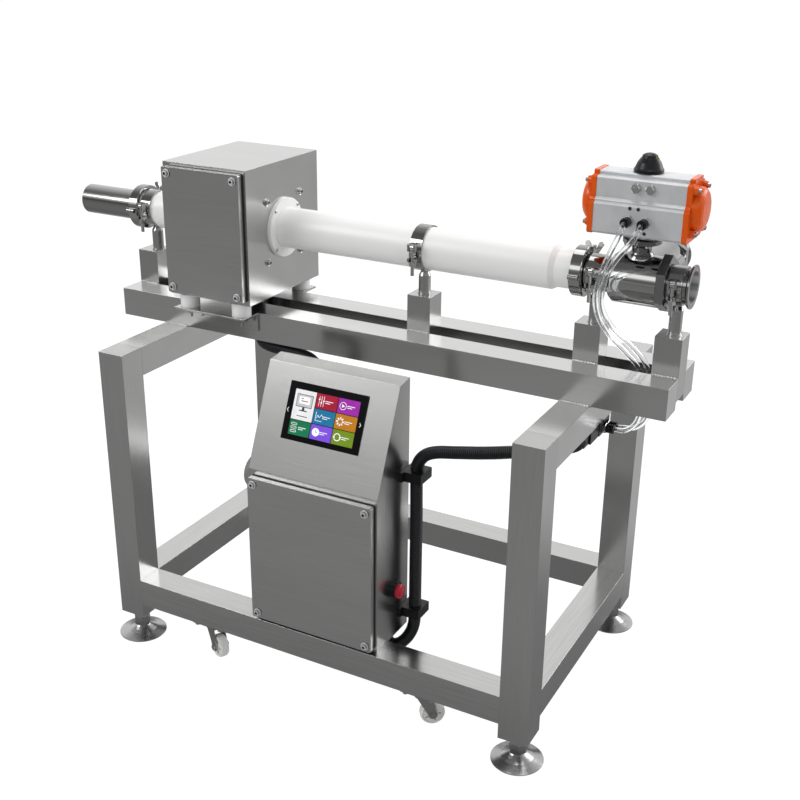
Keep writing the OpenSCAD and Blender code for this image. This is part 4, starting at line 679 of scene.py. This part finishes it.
# Rims of the cover screws, with painted shade: a dark ring in the gap and a dark disc in each socket
# Middle x and z of each cover, distances of its screws from there, and its face
HEAD_SCREWS = (HEAD_MID, PIPE_Z, 80, 117, -145.5)
DOOR_SCREWS = (CAB_MID, 313, 126, 145, CAB_Y - 15)
RIM = [(5.1, 1.5), (8.4, 1.5), (8.4, 2.1), (7.6, 2.7), (6.2, 2.2), (5.1, 1.9), (5.1, 1.5)]
GAP_SHADE_RING = [(5.02, 1.6), (5.3, 1.6), (5.3, 2.1), (5.02, 2.1), (5.02, 1.6)]
HEAD_RING = [(4.4, 6.9), (5.06, 6.6), (5.06, 7.0), (4.4, 7.3), (3.4, 7.3), (3.4, 6.95), (4.4, 6.9)]
bm = bmesh.new()
for mid_x, mid_z, half_w, half_h, face in (HEAD_SCREWS, DOOR_SCREWS):
    for sx, sz in CORNERS:
        where = facing((mid_x + sx * half_w, face, mid_z + sz * half_h), (0, -1, 0))
        lathe(bm, RIM, where)
        # Painted shade: a dark ring in the gap under the rim and a dark disc on the socket's floor
        lathe(bm, GAP_SHADE_RING, where, 32, 1)
        disc(bm, where, 2.85, 4.02, 4.4, 24, 1)
        lathe(bm, HEAD_RING, where)
place("cover_screw_rims", bm, [aluminium, shade_black], "machine")


# Weld beads
BEAD_STEP, BEAD_SIDES, RIPPLE = 1.1, 10, 0.6


def weld(bm, a, b, r):
    """A rippled bead between two points in millimetres."""
    start, end = V(*a), V(*b)
    n = max(6, int((end - start).length / MM / BEAD_STEP))
    path = [start.lerp(end, i / n) for i in range(n + 1)]
    swell = [0.35 if i in (0, n) else 0.6 + 0.55 * abs(math.sin(i * RIPPLE)) for i in range(n + 1)]
    rows = rings(bm, path, [r * s for s in swell], BEAD_SIDES)
    skin(bm, rows)
    end_faces(bm, rows)


bm = bmesh.new()
for x in POSTS:
    for y in (-BEAM_IN, BEAM_IN):
        weld(bm, (x - POST_WELD, y, BEAM_TOP), (x + POST_WELD, y, BEAM_TOP), 3.2)
for x in (STAND_X0, STAND_X0 + SQUARE, STAND_X1 - SQUARE, STAND_X1):
    for y0, y1 in ((1 - BEAM_OUT, -1 - BEAM_IN), (BEAM_IN + 1, BEAM_OUT - 1)):
        weld(bm, (x, y0, STAND_TOP), (x, y1, STAND_TOP), 2.6)
for x0, x1 in ((STAND_X0 + 1, STAND_X0 + SQUARE - 1), (STAND_X1 - SQUARE + 1, STAND_X1 - 1)):
    for y in (-BEAM_OUT, BEAM_OUT):
        weld(bm, (x0, y, STAND_TOP), (x1, y, STAND_TOP), 2.8)
for x in (STAND_X0 + SQUARE, STAND_X1 - SQUARE):
    for y in (SQUARE - STAND_Y, STAND_Y - SQUARE):
        weld(bm, (x, y, RAIL_Z0), (x, y, RAIL_Z1), 1.4)
# The bead of the small bracket on the rear long beam
weld(bm, (436.25, BEAM_OUT, BEAM_TOP - 4), (471.25, BEAM_OUT, BEAM_TOP - 4), 1.5)
place("weld_beads", bm, [bead_steel], "machine", sharp=80)

# Actuator: two bolts and three small holes in front, each a rim round a dark disc of painted shade, and
# the socket screws of its caps, their sockets in painted shade
HOLE_R = 2.7
bm = bmesh.new()
for x in (STEM - 8, STEM + 17):
    at = (x, CHANNEL_FRONT, PISTON_Z + 32)
    hex_bolt(bm, at, (0, -1, 0), 15, 6.5, 8.6, 0.15)
    disc(bm, facing(at, (0, -1, 0)), 3.2, 8.0, 8.3, 20)
for x, z in ((STEM - 14, 1027), (STEM + 1, 1027), (STEM + 15, 986)):
    where = facing((x, ACT_FRONT, z), (0, -1, 0))
    lathe(bm, [(HOLE_R, 0), (HOLE_R + 0.9, 0), (HOLE_R + 0.9, 0.15), (HOLE_R, 0.25)], where, 24)
    # Painted shade: a dark disc inside the hole's rim
    disc(bm, where, HOLE_R, 0.12, 0.2, 24, 1)
for s in (-1, 1):
    for sy, sz in CORNERS:
        socket_screw(bm, (STEM + s * CAP_FACE, sy * 29, PISTON_Z + sz * 37), (s, 0, 0), 4.6, 5.0)
place("actuator_screws", bm, [bolt_steel, shade_black], "machine", bevel=0.2)

# Mounting flange and flared foot round the actuator's neck, with bolts up through the flange
FLANGE = [(17.3, -9), (34, -9), (34.6, -9.6), (34.6, -16.4), (34, -17), (25, -17), (20.5, -20),
    (18, -25), (17.6, -27), (17.3, -27)]
FOOT = [(18.6, -33.6), (19.4, -33.9), (21, -37), (24.5, -41), (26, -45.5), (18.6, -45.5)]
BOLT_CIRCLE = 29
bm = bmesh.new()
neck = facing((STEM, 0, ACT_Z), (0, 0, 1))
lathe(bm, FLANGE, neck, 48)
lathe(bm, FOOT, neck, 48)
for k in range(4):
    a = math.radians(35 + 90 * k)
    at = (STEM + BOLT_CIRCLE * math.cos(a), BOLT_CIRCLE * math.sin(a), ACT_Z - 17)
    hex_bolt(bm, at, (0, 0, -1), 8, 4.5, 0, 0.2, 1)
place("neck_flange", bm, [neck_steel, bolt_steel], "machine", bevel=0.2)

# Push-in fittings with a silver hexagon and a black collar
HEXAGON = [(0, 0), (10.4, 0), (10.4, 5.6), (9.2, 7), (6.5, 7)]
COLLAR = [(8.6, 6.5), (8.8, 7.5), (8.8, 13), (8.2, 14), (8.2, 15), (8.9, 16), (8.9, 20.5), (8.2, 22),
    (5.3, 22), (5.3, 12), (0, 12)]
on_actuator = [((x, ACT_FRONT - 0.3, z), (0, -1, 0)) for x, z in AIR_PORTS]
on_solenoid = [((SOLENOID_X + 13.3, y, SOLENOID_Z - 3), (1, 0, 0)) for y in (20, 36)]
bm = bmesh.new()
for origin, axis in on_actuator + on_solenoid:
    where = facing(origin, axis, 0.2)
    lathe(bm, HEXAGON, where, 6)
    lathe(bm, COLLAR, where, 32, 1)
piece = place("air_fitting_detail", bm, [bolt_steel, black], "machine", bevel=0.2)
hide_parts("air_fittings")

# Position indicator: a bright patch high on the right of the black cone
# Foot of the cone, and (radius, height) pairs on its side
CONE_Z = 1084
CONE_LINE = ((17.1, 20.4), (15.45, 24.5), (14.5, 24.6), (13.2, 28.6))
bm = bmesh.new()
patch = []
for k in range(6):
    b = math.radians(2 + 8 * k)
    patch.append([bm.verts.new(V(STEM + r * math.cos(b), r * math.sin(b), CONE_Z + h))
        for r, h in CONE_LINE])
for p, q in zip(patch, patch[1:]):
    for k in range(len(CONE_LINE) - 1):
        bm.faces.new([p[k], q[k], q[k + 1], p[k + 1]])
piece = place("indicator_mark", bm, [yellow], "valve_rotor")
thick = piece.modifiers.new("thickness", "SOLIDIFY")
thick.thickness = 0.6 * MM
thick.offset = 1

# Touch screen, on the sloped front of the cabinet
slope = Matrix.Translation(V(CAB_MID, CAB_Y, BEND_Z)) @ Matrix.Rotation(-SLOPE_TILT, 4, "X")
slope = slope @ Matrix.Translation(V(0, -2.32, 130)) @ Matrix.Rotation(math.pi / 2, 4, "X")


def lit(name, colour, strength=0.6):
    """A lit area of the screen."""
    m = Nodes(name)
    tint = m.ramp(m.noise(50, (1, 1, 1), 2), shade(colour, 0.93), shade(colour, 1.05))
    m.set(Base_Color=tint, Emission_Color=tint, Roughness=0.3, Emission_Strength=strength,
        Specular_IOR_Level=0.1)
    return m.mat


screen_colours = [lit("tile_white", (0.6, 0.6, 0.6)), lit("tile_crimson", (0.27, 0.01, 0.032)),
    lit("tile_magenta", (0.24, 0.02, 0.27)), lit("tile_teal", (0.012, 0.13, 0.25)),
    lit("tile_amber", (0.36, 0.14, 0.012)), lit("tile_green", (0.008, 0.13, 0.055)),
    lit("tile_violet", (0.15, 0.06, 0.5)), lit("tile_olive", (0.12, 0.2, 0.012)),
    lit("tile_ink", (0.06, 0.06, 0.065), 0.2), lit("tile_pale", (0.7, 0.7, 0.72)),
    lit("tile_grey", (0.4, 0.4, 0.42))]
WHITE, CRIMSON, MAGENTA, TEAL, AMBER, GREEN, VIOLET, OLIVE, INK, PALE, GREY = range(11)

# Columns and rows of the tiles, which stand a little to the right of the screen's middle
TILE_SHIFT, TILE_FIT, TILE_W, TILE_H, TILE_THICK, SIGN_THICK = 4.8, 0.974, 48, 28.6, 0.12, 0.08
LEFT, MIDDLE, RIGHT = -54.5, -5.0, 44.5
TOP, CENTRE, BOTTOM = 28.5, -1.5, -31.5
# Centre x, centre y, height and colour
TILES = ((LEFT, 13.5, 58.6, WHITE), (MIDDLE, TOP, TILE_H, CRIMSON), (RIGHT, TOP, TILE_H, MAGENTA),
    (MIDDLE, CENTRE, TILE_H, TEAL), (RIGHT, CENTRE, TILE_H, AMBER), (LEFT, BOTTOM, TILE_H, GREEN),
    (MIDDLE, BOTTOM, TILE_H, VIOLET), (RIGHT, BOTTOM, TILE_H, OLIVE))


def on_screen(x, y, lift):
    """Matrix at a place on the screen."""
    return slope @ Matrix.Translation(V(x * TILE_FIT + TILE_SHIFT, y, lift))


bm = bmesh.new()
for x, y, h, colour in TILES:
    prism(bm, rounded(TILE_W * TILE_FIT, h, 0.8, 2), on_screen(x, y, 0), TILE_THICK, colour)


def mark(outline, x, y, colour=PALE, lift=0.1):
    """Thin sign on a tile, lifted a little over what lies under it."""
    prism(bm, outline, on_screen(x, y, lift), SIGN_THICK, colour)


def bar(x, y, w, h, colour=PALE, lift=0.1):
    """Round-ended stroke."""
    mark(rounded(w, h, min(w, h) * 0.45, 3), x, y, colour, lift)


def hoop(x, y, r, inner, tile):
    """Thin ring: a pale disc with a disc of the tile's colour on it."""
    mark(circle(r), x, y)
    mark(circle(inner), x, y, tile, 0.15)


# Monitor on the white tile
mark(rounded(36, 25, 1.5), LEFT, 22, INK)
mark(rounded(33.6, 22.6, 1.0), LEFT, 22, GREY, 0.15)
mark(rounded(24, 14, 0.8), LEFT, 23, PALE, 0.2)
bar(-60, 26, 5, 1.8, GREEN, 0.25)
bar(-58, 21.5, 8, 1.8, GREEN, 0.25)
bar(-50, 21.5, 8, 1.8, CRIMSON, 0.25)
mark([(-3, -3), (3, -3), (2.2, 3), (-2.2, 3)], LEFT, 6.5, INK)
bar(LEFT, 2.8, 18, 2.2, INK)
# Sliders, play, curve, dial, list, clock and gauge
for x, y in ((-22, 3), (-17, -3), (-12, 1)):
    bar(x, TOP, 0.9, 20)
    bar(x, TOP + y, 3.6, 2.2)
SIGN_X, CLOCK_X, LIST_X = 32, -17, -68
hoop(SIGN_X, TOP, 7.5, 6.4, MAGENTA)
mark([(-2.2, -3.6), (4, 0), (-2.2, 3.6)], SIGN_X, TOP, PALE, 0.18)
bar(-23.5, CENTRE, 0.9, 18)
bar(-16, CENTRE - 8, 15, 0.9)
mark([(-7, -4), (-4, 3), (0, -1), (4, 5), (7, 1), (7, -0.2), (4, 3.4), (0, -2.4), (-4, 1.4), (-6, -4)],
    -15, -1)
for k in range(8):
    a = math.pi * k / 4
    bar(SIGN_X + 7.2 * math.cos(a), CENTRE + 7.2 * math.sin(a), 2.8, 2.8)
hoop(SIGN_X, CENTRE, 5.6, 4.6, AMBER)
for i in range(3):
    bar(LIST_X, -24.5 - 7 * i, 13, 4.6)
    bar(LIST_X, -24.5 - 7 * i, 11.2, 2.8, GREEN, 0.15)
mark(circle(8), CLOCK_X, BOTTOM)
bar(CLOCK_X, BOTTOM + 2.9, 1.1, 6.5, VIOLET, 0.18)
bar(CLOCK_X + 1.8, BOTTOM, 4.6, 1.1, VIOLET, 0.18)
hoop(SIGN_X, BOTTOM, 7.6, 5.8, OLIVE)
mark([(-9, -1.4), (-4, -1.4), (-6.5, 2.2)], SIGN_X, BOTTOM, PALE, 0.18)
mark([(9, 1.4), (4, 1.4), (6.5, -2.2)], SIGN_X, BOTTOM, PALE, 0.18)
# Plain strokes beside each sign, and under the monitor
for x, y in ((0.5, TOP), (50, TOP), (0.5, CENTRE), (50, CENTRE), (-49, BOTTOM), (0.5, BOTTOM),
        (50, BOTTOM)):
    bar(x, y + 1.6, 17, 1.3)
    bar(x - 3, y - 1.9, 11, 1.3)
bar(LEFT, -8, 24, 1.5, INK)
# Arrows at both ends of the screen
ARROW = [(0, 0), (3.4, 5), (3.4, 3.4), (1.3, 0), (3.4, -3.4), (3.4, -5)]
for x, way in ((-90.5, 1), (78.5, -1)):
    mark([(px * way, py) for px, py in ARROW][::way], x, 0)
place("screen_tiles", bm, screen_colours, "machine")

# Rings, middle and gland of the alarm sounder
bm = bmesh.new()
sound = facing((CAB_X0 - 0.3, SOUNDER_Y, SOUNDER_Z), (-1, 0, 0))
for r in (13, 18, 23):
    lathe(bm, [(r, 22.8), (r + 2.2, 22.8), (r + 2.0, 23.6), (r + 0.2, 23.6), (r, 22.8)], sound, 48)
disc(bm, sound, 8.6, 18.2, 18.6, 32, 1)
gland = facing((CAB_X0 - 7, SOUNDER_Y, SOUNDER_Z + 33.2), (0, 0, 1))
lathe(bm, [(0, 0), (6, 0), (6, 8), (5, 9), (0, 9)], gland, 24, 1)
place("sounder_detail", bm, [grey, black], "machine")

# Solenoid valve: blue caps in front and below, and screws
bm = bmesh.new()
front = facing((SOLENOID_X, SOLENOID_FRONT, SOLENOID_Z), (0, -1, 0))
prism(bm, rounded(19, 16, 2), front @ Matrix.Translation(V(0, 0, -6)), 5.9)
for y in (8, 48):
    under = facing((SOLENOID_X, y, SOLENOID_Z - 15), (0, 0, -1))
    lathe(bm, [(0, 0), (3, 0), (3, 1.6), (2.4, 2.2), (0, 2.2)], under, 20, 1)
prism(bm, rounded(22, 20, 2), facing((SOLENOID_X, -24, SOLENOID_Z - 14), (0, 0, -1)), 1.2)
place("solenoid_detail", bm, [blue, bolt_steel], "machine", bevel=0.4)

# Stop button: ring of the collar, and the raised face that moves with the button
button = facing((CAB_X1, CAB_Y + 61, 262), (1, 0, 0))
bm = bmesh.new()
lathe(bm, [(14.9, 11.9), (17.3, 11.9), (17.3, 12.6), (16.7, 13.2), (15.6, 13.2), (14.9, 12.4),
    (14.9, 11.9)], button, 48)
place("button_ring", bm, [black], "machine")
bm = bmesh.new()
lathe(bm, [(0, 22.6), (9.5, 22.6), (10.5, 22.9), (9.6, 23.4), (0, 23.9)], button, 40)
place("button_face", bm, [red], "stop_button")

# Casters: hub with five spokes on both faces of each wheel, and the bolts of the plate
# Corner, place and swivel in degrees
CASTERS = (("front_left", CASTER_X[0], -CASTER_Y, -25), ("front_right", CASTER_X[1], -CASTER_Y, 35),
    ("rear_left", CASTER_X[0], CASTER_Y, 200), ("rear_right", CASTER_X[1], CASTER_Y, -80))
HUB = [(4.3, 0), (8.6, 0), (8.6, 1.2), (7.6, 1.8), (4.3, 1.8)]
SPOKES, SPOKE_R = 5, 13.5
for corner, x, y, swivel in CASTERS:
    a = math.radians(swivel)
    along, across = Vector((math.cos(a), math.sin(a), 0)), Vector((-math.sin(a), math.cos(a), 0))
    hub = Vector((x, y, AXLE_Z)) + TRAIL * along
    bm = bmesh.new()
    for s in (-1, 1):
        where = facing(tuple(hub + s * 8.2 * across), tuple(s * across))
        lathe(bm, HUB, where)
        for k in range(SPOKES):
            b = 2 * math.pi * k / SPOKES
            out = Matrix.Translation(V(SPOKE_R * math.cos(b), SPOKE_R * math.sin(b), -0.6))
            prism(bm, rounded(6.5, 2.0, 0.9, 3), where @ out @ Matrix.Rotation(b, 4, "Z"), 0.9)
    place(corner + "_wheel_hub", bm, [grey], corner + "_caster_wheel")
    bm = bmesh.new()
    for sx, sy in CORNERS:
        hex_bolt(bm, (x + sx * 29, y + sy * 21, 87), (0, 0, -1), 10, 4, 6, 0.2)
    place(corner + "_plate_bolts", bm, [bolt_steel], "machine", bevel=0.2)

# Floor: white to the camera, matte to the lamps, and to polished steel dim in front, darkest under the
# machine as a painted shadow, and brighter behind
FLOOR_HALF = 60
FLOOR_FRONT, FLOOR_UNDER_SHADOW, FLOOR_BACK = 0.23, 0.17, 0.5
FLOOR_WHITE, FLOOR_PAINT = 1.13, (0.86, 0.86, 0.86, 1)
SEEN_SHARE, MIRRORED_SHARE = 0.82, 0.88
floor_mesh = bpy.data.meshes.new("floor")
in_turn = ((-1, -1), (1, -1), (1, 1), (-1, 1))
floor_points = [(sx * FLOOR_HALF, sy * FLOOR_HALF, 0) for sx, sy in in_turn]
floor_mesh.from_pydata(floor_points, [], [(0, 1, 2, 3)])
floor = bpy.data.objects.new("floor", floor_mesh)
bpy.context.scene.collection.objects.link(floor)
paint = bpy.data.materials.new("floor_paint")
paint.use_nodes = True
tree = paint.node_tree
tree.nodes.clear()
out = tree.nodes.new("ShaderNodeOutputMaterial")
rays = tree.nodes.new("ShaderNodeLightPath").outputs
matte = tree.nodes.new("ShaderNodeBsdfDiffuse")
matte.inputs["Color"].default_value = FLOOR_PAINT
depth = coordinates(tree, "Object")["Y"]
# Painted shadow: the glow that polished steel sees is dimmest under the machine
mirrored = joined(tree, "MAXIMUM", ranged(tree, depth, -0.7, -0.2, FLOOR_FRONT, FLOOR_UNDER_SHADOW, True),
    ranged(tree, depth, 0.25, 0.8, FLOOR_UNDER_SHADOW, FLOOR_BACK, True))
white_rays = joined(tree, "MAXIMUM", rays["Is Camera Ray"], rays["Is Transmission Ray"])
glow = tree.nodes.new("ShaderNodeEmission")
feed(tree, glow.inputs["Strength"], mixed(tree, "FLOAT", white_rays, mirrored, FLOOR_WHITE))
glowing = joined(tree, "MAXIMUM", joined(tree, "MULTIPLY", white_rays, SEEN_SHARE),
    joined(tree, "MULTIPLY", rays["Is Glossy Ray"], MIRRORED_SHARE))
mixer = tree.nodes.new("ShaderNodeMixShader")
for socket, source in zip(mixer.inputs, (glowing, matte.outputs[0], glow.outputs[0])):
    tree.links.new(source, socket)
tree.links.new(mixer.outputs[0], out.inputs["Surface"])
floor_mesh.materials.append(paint)

# Sky: one row of brightness against height in front, one behind, and white to the camera
SKY_STRENGTH = 1.1
FRONT_SKY = ((0.0, 0.1), (0.18, 0.16), (0.26, 0.5), (0.33, 0.95), (0.5, 1.0), (0.58, 0.22), (1.0, 0.3))
BACK_SKY = ((0.0, 0.35), (0.07, 0.8), (0.14, 1.0), (0.6, 1.0), (0.8, 0.6), (1.0, 0.4))
world = bpy.data.worlds.new("studio")
bpy.context.scene.world = world
world.use_nodes = True
tree = world.node_tree
tree.nodes.clear()
out = tree.nodes.new("ShaderNodeOutputWorld")
sky = tree.nodes.new("ShaderNodeBackground")
rays = tree.nodes.new("ShaderNodeLightPath").outputs
toward = coordinates(tree, "Generated")
half = ranged(tree, toward["Y"], -0.25, 0.25, 0.0, 1.0, True)
front_sky, back_sky = (banded(tree, toward["Z"], bands) for bands in (FRONT_SKY, BACK_SKY))
light = mixed(tree, "RGBA", half, front_sky, back_sky)
backdrop = mixed(tree, "RGBA", rays["Is Camera Ray"], light, (1, 1, 1, 1))
feed(tree, sky.inputs["Color"], backdrop)
feed(tree, sky.inputs["Strength"], SKY_STRENGTH)
tree.links.new(sky.outputs[0], out.inputs["Surface"])


def lamp(name, spot, aim, size, power):
    """Area lamp in metres and watts, turned to a point."""
    data = bpy.data.lights.new(name, "AREA")
    data.shape = "RECTANGLE"
    data.size, data.size_y = size
    data.energy = power
    obj = bpy.data.objects.new(name, data)
    obj.location = spot
    obj.rotation_euler = (Vector(spot) - Vector(aim)).to_track_quat("Z", "Y").to_euler()
    bpy.context.scene.collection.objects.link(obj)


lamp("back_right", (2.6, 2.6, 2.0), (0, 0, 0.6), (2.2, 1.6), 40)
lamp("top", (0.3, 0.4, 3.6), (0, 0, 0.7), (2.6, 1.6), 40)
lamp("front_left", (-2.2, -2.4, 3.0), (0, 0, 0.6), (1.6, 1.6), 45)

bpy.context.scene.view_settings.view_transform = "Standard"
